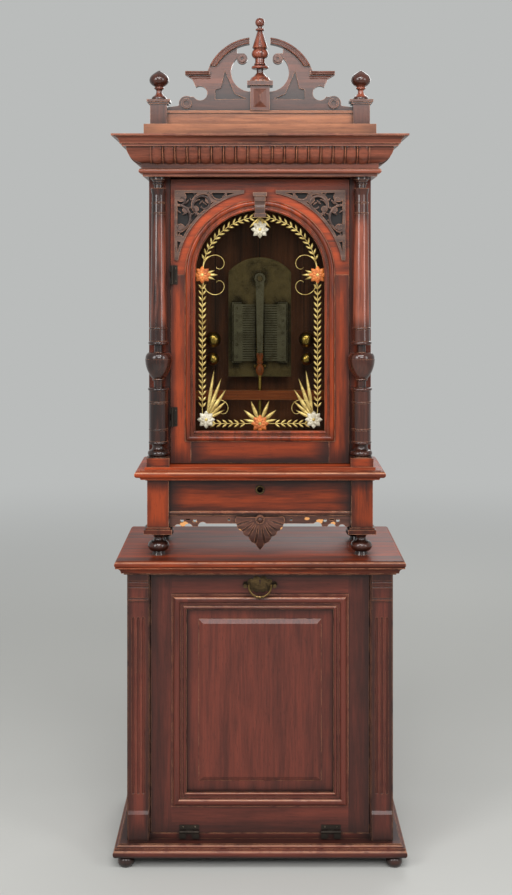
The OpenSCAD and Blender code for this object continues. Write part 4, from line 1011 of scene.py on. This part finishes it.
class MUSICBOX_OT_gild_glass(bpy.types.Operator):
    """Lay a laurel border with rosettes on the door's glass"""

    bl_idname = "musicbox.gild_glass"
    bl_label = "Gild Glass"

    def execute(self, context):
        look = context.scene.music_box_border
        low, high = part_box("door_glass")
        covered = look.sight + look.inset
        course, knots = stem_course(
            high.x - covered, low.y - look.proud, low.z + covered, high.z - high.x, look.corner
        )
        gilt = paint("gold_leaf", look.gilt, look.gilt_shade, 0.55, 0.34)
        new_piece("glass_stem", self.stem(look, course, knots), gilt, "door")
        new_piece("glass_leaves", self.leaves(look, course, knots), gilt, "door")
        for name, chosen in ROSETTES.items():
            places = [(knot, course(knots[knot])[0]) for knot in chosen]
            petals, buttons = self.rosettes(look, places)
            tint = paint(name + "_petals", getattr(look, name), getattr(look, name + "_shade"))
            new_piece(name + "_rosettes", petals, tint, "door")
            new_piece(name + "_buttons", buttons, gilt, "door")
        return {"FINISHED"}

    def stem(self, look, course, knots):
        """The stem and its tendrils."""
        mesh = bmesh.new()
        steps = int(knots[CROWN] / STEM_STEP)
        places = [course(knots[CROWN] * index / steps)[0] for index in range(steps + 1)]
        swept(mesh, places, [look.stem] * len(places), STEM_FLAT, STEM_SIDES)
        start, sweep = TENDRIL_ANGLES
        for knot, turn in TENDRILS:
            hub = course(knots[knot])[0] + Vector((TENDRIL_HUB[0], 0, turn * TENDRIL_HUB[1]))
            places = spiral(hub, turn * start, turn * sweep, *TENDRIL_RADII, TENDRIL_STEPS)
            swept(mesh, places, taper(*TENDRIL_WIDTHS, TENDRIL_STEPS), STEM_FLAT, STEM_SIDES)
        mirrored(mesh)
        return mesh

    def leaves(self, look, course, knots):
        """Pairs of laurel leaves along the stem, and sprays at its knots."""
        mesh = bmesh.new()
        distance = look.pitch / 2
        while distance < knots[CROWN]:
            place, heading = course(distance)
            if min(abs(distance - knot) for knot in knots) > look.rosette:
                for slant in (LEAF_SLANT, -LEAF_SLANT):
                    aim = Matrix.Rotation(-heading - slant, 4, "Y")
                    put = Matrix.Translation(place) @ aim
                    leaf(mesh, look.leaf_long, look.leaf_wide, look.foil, put)
            distance += look.pitch
        for knot, angle, long, wide in GLASS_SPRAYS:
            aim = Matrix.Rotation(-math.radians(angle), 4, "Y")
            put = Matrix.Translation(course(knots[knot])[0]) @ aim
            leaf(mesh, long * MM, wide * MM, look.foil, put)
        mirrored(mesh)
        thickened(mesh, look.foil)
        return mesh

    def rosettes(self, look, places):
        """Petals and domed buttons of one colour's rosettes, on both sides of the middle."""
        petals, buttons = bmesh.new(), bmesh.new()
        for knot, place in places:
            drop = look.rosette * CROWN_DROP if knot == CROWN else 0
            centre = place - Vector((0, PETAL_LAYERS * look.foil, drop))
            for side in (1, -1) if centre.x > 1 * MM else (1,):
                at = Vector((centre.x * side, centre.y, centre.z))
                rosette(petals, at, look.rosette, PETAL_RISE * look.foil)
                dome = Matrix.Translation(at - Vector((0, BUTTON_LAYERS * look.foil, 0)))
                bmesh.ops.create_uvsphere(
                    buttons, u_segments=BUTTON_ROUND, v_segments=BUTTON_OVER,
                    radius=look.rosette * BUTTON_SHARE,
                    matrix=dome @ Matrix.Diagonal((1, BUTTON_FLAT, 1, 1)),
                )
        thickened(petals, look.foil)
        return petals, buttons


# Scrolls, in millimetres and degrees: centre inward and down from the fret's outer top corner,
# start, sweep, radius at both ends, and width at the start, in the middle and at the end
SPANDREL_SCROLLS = (
    (73, 36, 140, 360, 28.5, 8, 6, 7.5, 3.5),
    (8, 70, -80, 150, 32, 32, 5, 7, 4.5),
    (17, 25, 105, -235, 13.5, 4, 5, 5.5, 3),
    (14, 92, 58, 260, 9, 3, 4.5, 5, 2.6),
    (111, 6, 165, -120, 19.5, 19.5, 4.5, 4.5, 2.4),
    (66, 44, 180, 85, 20, 20, 3, 5, 2),
)
# Leaf lobes: both ends, inward and down from the same corner, and width
SPANDREL_LOBES = (
    (32, 50, 45, 40, 7), (38, 64, 50, 58, 6), (27, 36, 36, 24, 6), (47, 30, 38, 20, 6),
    (56, 14, 47, 6, 6), (80, 10, 90, 4, 5), (58, 56, 51, 66, 6), (37, 80, 46, 75, 5),
    (20, 62, 33, 56, 5), (72, 30, 82, 38, 5), (14, 108, 8, 118, 4), (120, 18, 132, 8, 3.5),
    (62, 36, 72, 26, 6), (6, 50, 16, 58, 5),
)
# Middle of the carving in front of the door's head, and how flat its limbs are
CARVING_PROUD = 5.4 * MM
SCROLL_FLAT = 0.62
LOBE_FLAT = 0.6
LOBE_STEPS = 6
LOBE_STALK = 1 * MM
LOBE_TIP = 0.6 * MM


class MUSICBOX_OT_carve_spandrels(bpy.types.Operator):
    """Carve scrolls and leaves on the frets beside the door's arch"""

    bl_idname = "musicbox.carve_spandrels"
    bl_label = "Carve Spandrels"

    def execute(self, context):
        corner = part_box("door_carvings")[1]
        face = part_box("door_head")[0].y - CARVING_PROUD
        carving = bmesh.new()

        def at(inward, down):
            return Vector((corner.x - inward * MM, face, corner.z - down * MM))

        for inward, down, start, sweep, wide, tight, *widths in SPANDREL_SCROLLS:
            places = spiral(at(inward, down), start + 180, sweep, wide * MM, tight * MM)
            swept(carving, places, taper(*(width * MM for width in widths)), SCROLL_FLAT)
        for inward, down, to_inward, to_down, width in SPANDREL_LOBES:
            start, end = at(inward, down), at(to_inward, to_down)
            places = [start.lerp(end, index / LOBE_STEPS) for index in range(LOBE_STEPS + 1)]
            widths = taper(LOBE_STALK, width * MM, LOBE_TIP, LOBE_STEPS)
            swept(carving, places, widths, LOBE_FLAT)
        mirrored(carving)
        look = wood("spandrel_carving", "carving", "X", 33, gloss=0.34, stained=0.6, worn=0.6)
        new_piece("spandrel_carving", carving, look, "door")
        return {"FINISHED"}


# Arcs of the pediment, in millimetres right of the middle and above the rail: their centre, where
# they end beside the spire, and where the beads begin and end
SWAN_CENTRE = (11.2, 55)
SWAN_END = 26
BEAD_FOOT = 113
BEAD_END = 27
# Beads along the arc: distance inside its edge and width
ARC_BEADS = ((2.4, 4.6), (7.6, 2.6), (12.8, 4))
ARC_STEPS = 24
# Beads along the ear: height, inner and outer end, depth behind the arc's face and width
EAR_BEADS = (
    (96, 128, 186, 0, 4.6), (91.6, 128, 186, 0, 2.6),
    (85.5, 124, 177, 7, 3.4), (80.5, 124, 169, 7, 2.4),
)
BEAD_FLAT = 0.7


class MUSICBOX_OT_bead_pediment(bpy.types.Operator):
    """Run beads along the arcs and ears of the pediment"""

    bl_idname = "musicbox.bead_pediment"
    bl_label = "Bead Pediment"

    def execute(self, context):
        low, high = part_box("pediment")
        across, above = SWAN_CENTRE
        centre = Vector((across * MM, low.y, low.z + above * MM))
        radius = math.hypot(high.z - centre.z, (SWAN_END - across) * MM)
        beads = bmesh.new()
        for inside, width in ARC_BEADS:
            reach = radius - inside * MM
            start = math.degrees(math.asin((BEAD_FOOT - above) * MM / reach))
            end = math.degrees(math.acos((BEAD_END - across) * MM / reach))
            places = spiral(centre, start, end - start, reach, reach, ARC_STEPS)
            swept(beads, places, [width * MM] * len(places), BEAD_FLAT)
        for up, inner, outer, depth, width in EAR_BEADS:
            ends = [
                Vector((end * MM, low.y + depth * MM, low.z + up * MM)) for end in (inner, outer)
            ]
            swept(beads, ends, [width * MM] * len(ends), BEAD_FLAT)
        mirrored(beads)
        finish = {"gloss": 0.34, "stained": 0.55, "worn": 0.1, "aged": -0.25}
        look = wood("bead_polish", "pediment", "X", 35, **finish)
        new_piece("pediment_beads", beads, look, "root")
        return {"FINISHED"}


# Radius and height of the turned profile, in millimetres, from the foot to the point
FINIAL_PROFILE = (
    (0, 0), (18.6, 0), (19, 1), (19, 6), (17, 9), (10.5, 12.5), (7.6, 17), (7, 23), (8, 26.5),
    (12, 28), (13, 30), (12, 32), (9.5, 33), (12, 34.5), (18.5, 38), (23.4, 43.5), (25, 49.5),
    (24.2, 55.5), (21, 61), (15.5, 66), (8.5, 70.5), (3.5, 73.5), (0, 75),
)
FINIAL_STEPS = 40


class MUSICBOX_OT_turn_finials(bpy.types.Operator):
    """Turn the flattened, pointed acorns that stand on the pedestals"""

    bl_idname = "musicbox.turn_finials"
    bl_label = "Turn Finials"

    def execute(self, context):
        low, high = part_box("acorn_finials")
        radius = (high.y - low.y) / 2
        middle = Vector((high.x - radius, low.y + radius, low.z))
        acorns = bmesh.new()
        profile = [Vector((out * MM, 0, up * MM)) for out, up in FINIAL_PROFILE]
        corners = [acorns.verts.new(middle + place) for place in profile]
        edges = [acorns.edges.new(pair) for pair in zip(corners, corners[1:])]
        bmesh.ops.spin(
            acorns, geom=corners + edges, cent=middle, axis=(0, 0, 1), angle=math.tau,
            steps=FINIAL_STEPS, use_merge=True,
        )
        mirrored(acorns)
        look = NODES["acorn_finials"].material_slots[0].material
        piece = new_piece("turned_finials", acorns, look, "root")
        rounding = piece.modifiers.new("rounding", "SUBSURF")
        rounding.levels = rounding.render_levels = 1
        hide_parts("acorn_finials")
        return {"FINISHED"}


# Screw heads, as shares of their radius: top, height, half the slot, and the washer under the dome
HEAD_SIDES = 14
HEAD_TOP = 0.7
HEAD_HIGH = 0.5
HEAD_SLOT = 0.12
WASHER_TOP = 0.98
WASHER_HIGH = 0.3
WASHER_DOWN = 0.2
# How far each slot is turned from the one before, in radians
SLOT_TURN = 0.9


def screw_head(mesh, place, radius):
    """A low domed head with a slot, looking along the place's z axis."""
    head = bmesh.new()
    bmesh.ops.create_cone(
        head, cap_ends=True, segments=HEAD_SIDES, radius1=radius, radius2=radius * HEAD_TOP,
        depth=radius * HEAD_HIGH,
    )
    half = bmesh.ops.bisect_plane(
        head, geom=everything(head), plane_co=(0, radius * HEAD_SLOT, 0), plane_no=(0, 1, 0),
        clear_inner=True,
    )
    rim = [part for part in half["geom_cut"] if isinstance(part, bmesh.types.BMEdge)]
    bmesh.ops.edgeloop_fill(head, edges=rim)
    bmesh.ops.mirror(head, geom=everything(head), axis="Y", merge_dist=0)
    bmesh.ops.create_cone(
        head, cap_ends=True, segments=HEAD_SIDES, radius1=radius, radius2=radius * WASHER_TOP,
        depth=radius * WASHER_HIGH, matrix=Matrix.Translation((0, 0, -radius * WASHER_DOWN)),
    )
    bmesh.ops.transform(head, matrix=place, verts=head.verts)
    data = bpy.data.meshes.new("screw_head")
    head.to_mesh(data)
    head.free()
    mesh.from_mesh(data)
    bpy.data.meshes.remove(data)


def screws(name, places, radius, body, outward=-1):
    """Screw heads at places on an upright face, each slot turned a little differently."""
    look = bpy.context.scene.music_box_metal
    blued = bpy.data.materials.get("blued_screws")
    if blued is None:
        blued = metal("blued_screws", look.steel, look.bronze_tarnish, 0.3, 0.5)
    mesh = bmesh.new()
    face = Matrix.Rotation(-outward * math.pi / 2, 4, "X")
    for index, place in enumerate(places):
        turn = Matrix.Rotation(index * SLOT_TURN, 4, "Z")
        screw_head(mesh, Matrix.Translation(place) @ face @ turn, radius)
    new_piece(name, mesh, blued, body)


def both_sides(reaches, heights, depth):
    """Places left and right of the middle, each at every reach and height."""
    return [(side * reach, depth, up) for side in (-1, 1) for reach in reaches for up in heights]


def spread(low, high, ends, count):
    """Even heights between two ends."""
    step = (high - low - 2 * ends) / (count - 1)
    return [low + ends + index * step for index in range(count)]


# Radius of the hinges', the combs' and the boards' screw heads, and how many stand in a row
HINGE_SCREW = 2.2 * MM
COMB_SCREW = 3.4 * MM
BOARD_SCREW = 4 * MM
ROW_COUNT = 5
# Screws of the hinges: from the leaf's ends, from its side and behind its front
DOOR_LEAF_ROWS = (8 * MM, 40 * MM)
DOOR_LEAF_IN = 4.5 * MM
FLAP_LEAF_IN = (9 * MM, 39 * MM)
FLAP_LEAF_DOWN = 5 * MM
LEAF_FACE = 1.5 * MM
# Screws of the combs and the back boards: from the sides and the ends
COMB_IN = 12 * MM
BACK_IN = 14 * MM
BACK_ENDS = 20 * MM


class MUSICBOX_OT_set_screws(bpy.types.Operator):
    """Set screws in the hinges, the combs and the back boards"""

    bl_idname = "musicbox.set_screws"
    bl_label = "Set Screws"

    def execute(self, context):
        low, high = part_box("door_hinge_leaves")
        near, far = DOOR_LEAF_ROWS
        rows = (low.z + near, low.z + far, high.z - far, high.z - near)
        places = [(high.x - DOOR_LEAF_IN, high.y - LEAF_FACE, up) for up in rows]
        screws("door_hinge_screws", places, HINGE_SCREW, "door")
        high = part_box("flap_hinge_leaves")[1]
        reaches = [high.x - inward for inward in FLAP_LEAF_IN]
        places = both_sides(reaches, [high.z - FLAP_LEAF_DOWN], high.y - LEAF_FACE)
        screws("flap_hinge_screws", places, HINGE_SCREW, "flap")
        low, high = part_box("combs")
        half_step = (high.z - low.z) / ROW_COUNT / 2
        heights = spread(low.z, high.z, half_step, ROW_COUNT)
        screws("comb_screws", both_sides([high.x - COMB_IN], heights, low.y), COMB_SCREW, "root")
        for board in ("cabinet_back", "case_back"):
            low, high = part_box(board)
            heights = spread(low.z, high.z, BACK_ENDS, ROW_COUNT)
            places = both_sides([high.x - BACK_IN], heights, high.y)
            screws(board + "_screws", places, BOARD_SCREW, "root", outward=1)
        return {"FINISHED"}


# Strip over the cornice's open back: past the case on each side, thickness, lower than the
# cornice, above its middle, rounding of its edges, and its screws from the middle
STRIP_PAST = 38 * MM
STRIP_THICK = 5 * MM
STRIP_LESS = 16 * MM
STRIP_RAISED = 6 * MM
STRIP_ROUND = 1.2 * MM
STRIP_SCREWS = (240 * MM, 90 * MM)


class MUSICBOX_OT_close_cornice(bpy.types.Operator):
    """Close the cornice's open back with a screwed strip"""

    bl_idname = "musicbox.close_cornice"
    bl_label = "Close Cornice"

    def execute(self, context):
        low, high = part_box("cornice")
        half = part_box("case_back")[1].x + STRIP_PAST
        up = (low.z + high.z) / 2 + STRIP_RAISED
        strip = bmesh.new()
        size = Matrix.Diagonal((2 * half, STRIP_THICK, high.z - low.z - STRIP_LESS, 1))
        middle = Matrix.Translation((0, high.y + STRIP_THICK / 2, up))
        bmesh.ops.create_cube(strip, size=1, matrix=middle @ size)
        bmesh.ops.bevel(
            strip, geom=strip.edges[:], offset=STRIP_ROUND, segments=2, profile=0.5,
            affect="EDGES", material=-1,
        )
        oil = wood("cornice_back_oil", "inner", "X", 17, **OILED)
        new_piece("cornice_back_strip", strip, oil, "root")
        places = both_sides(STRIP_SCREWS, [up], high.y + STRIP_THICK)
        screws("cornice_back_screws", places, BOARD_SCREW, "root", outward=1)
        return {"FINISHED"}


def seen_strength(mix, look):
    """Full strength where the room is looked at or mirrored, less where it lights the object."""
    camera, glossy, through = (
        mix.node("LightPath", {}, {}, way)
        for way in ("Is Camera Ray", "Is Glossy Ray", "Is Transmission Ray")
    )
    seen = camera.most(glossy.most(through))
    return look.room_light + seen * (1 - look.room_light)


def lamp(name, place, target, size, power):
    """A soft rectangular lamp that looks at a point."""
    data = bpy.data.lights.new(name, "AREA")
    data.shape = "RECTANGLE"
    data.size, data.size_y = size
    data.energy = power
    made = bpy.data.objects.new(name, data)
    made.location = place
    made.rotation_euler = (Vector(target) - Vector(place)).to_track_quat("-Z", "Y").to_euler()
    bpy.context.scene.collection.objects.link(made)


# Lamps in metres: place, height of the point that they look at, width and height
LAMPS = {
    "key": ((-2.4, -3.0, 2.6), 1.2, (1.2, 2.2)),
    "fill": ((2.6, -2.6, 2.2), 1.2, (1.0, 2.2)),
    "front": ((0.3, -4.2, 2.9), 1.0, (2.0, 1.2)),
    "back": ((0.9, 3.6, 3.0), 1.0, (2.0, 1.6)),
    "strip": ((0, -2.2, 3.6), 1.0, (2.4, 0.35)),
}
# Half the floor's side, and the distances between which it fades into the room
FLOOR_HALF = 30
FLOOR_FADE = (1.2, 6)
FLOOR_ROUGHNESS = 0.62
FLOOR_SPECULAR = 0.2


class MUSICBOX_OT_set_stage(bpy.types.Operator):
    """Lay the floor and set the lamps and the camera"""

    bl_idname = "musicbox.set_stage"
    bl_label = "Set Stage"

    def execute(self, context):
        scene = context.scene
        look = scene.music_box_stage
        scene.view_settings.view_transform = "Standard"
        room = (*look.room, 1)

        ground = bmesh.new()
        bmesh.ops.create_grid(ground, x_segments=1, y_segments=1, size=FLOOR_HALF)
        mesh = bpy.data.meshes.new("studio_floor")
        ground.to_mesh(mesh)
        ground.free()
        floor = bpy.data.objects.new("studio_floor", mesh)
        scene.collection.objects.link(floor)
        mix = Finish("studio_floor")
        away = mix.node("VectorMath", {"operation": "LENGTH"}, {0: mix.place}, "Value")
        near = mix.principled(
            Base_Color=look.floor, Roughness=FLOOR_ROUGHNESS, Specular_IOR_Level=FLOOR_SPECULAR
        )
        air = mix.node("Emission", {}, {"Color": room, "Strength": seen_strength(mix, look)})
        fade = mix.node("MixShader", {}, {0: away.step(*FLOOR_FADE), 1: near, 2: air})
        mesh.materials.append(mix.done(fade))

        scene.world = bpy.data.worlds.new("studio_room")
        sky = Finish("studio_room", scene.world)
        air = sky.node("Background", {}, {"Color": room, "Strength": seen_strength(sky, look)})
        sky.node("OutputWorld", {}, {"Surface": air})

        for name, (place, aim, size) in LAMPS.items():
            lamp(name + "_lamp", place, (0, 0, aim), size, getattr(look, name + "_power"))

        data = bpy.data.cameras.new("photo_camera")
        data.lens = look.lens
        data.shift_y = look.shift
        camera = bpy.data.objects.new("photo_camera", data)
        camera.location = look.eye
        camera.rotation_euler = (math.pi / 2, 0, 0)
        scene.collection.objects.link(camera)
        scene.camera = camera
        return {"FINISHED"}


class MUSICBOX_PT_finish(bpy.types.Panel):
    """The steps that finish the music box, in order"""

    bl_label = "Music Box"
    bl_idname = "MUSICBOX_PT_finish"
    bl_space_type = "VIEW_3D"
    bl_region_type = "UI"
    bl_category = "Music Box"

    def draw(self, context):
        for step in STEPS:
            self.layout.operator(step.bl_idname)


SETTINGS = {
    "music_box_wood": WoodSettings,
    "music_box_metal": MetalSettings,
    "music_box_border": BorderSettings,
    "music_box_stage": StageSettings,
}
STEPS = (
    MUSICBOX_OT_set_stage, MUSICBOX_OT_polish_woods, MUSICBOX_OT_finish_metals,
    MUSICBOX_OT_gild_glass, MUSICBOX_OT_carve_spandrels, MUSICBOX_OT_bead_pediment,
    MUSICBOX_OT_turn_finials, MUSICBOX_OT_set_screws, MUSICBOX_OT_close_cornice,
)


def register():
    for group in SETTINGS.values():
        bpy.utils.register_class(group)
    for step in (*STEPS, MUSICBOX_PT_finish):
        bpy.utils.register_class(step)
    for name, group in SETTINGS.items():
        setattr(bpy.types.Scene, name, PointerProperty(type=group))


def unregister():
    for name in SETTINGS:
        delattr(bpy.types.Scene, name)
    for step in (MUSICBOX_PT_finish, *reversed(STEPS)):
        bpy.utils.unregister_class(step)
    for group in reversed(SETTINGS.values()):
        bpy.utils.unregister_class(group)


def main():
    register()
    for step in STEPS:
        family, action = step.bl_idname.split(".")
        getattr(getattr(bpy.ops, family), action)()


if __name__ == "__main__":
    main()
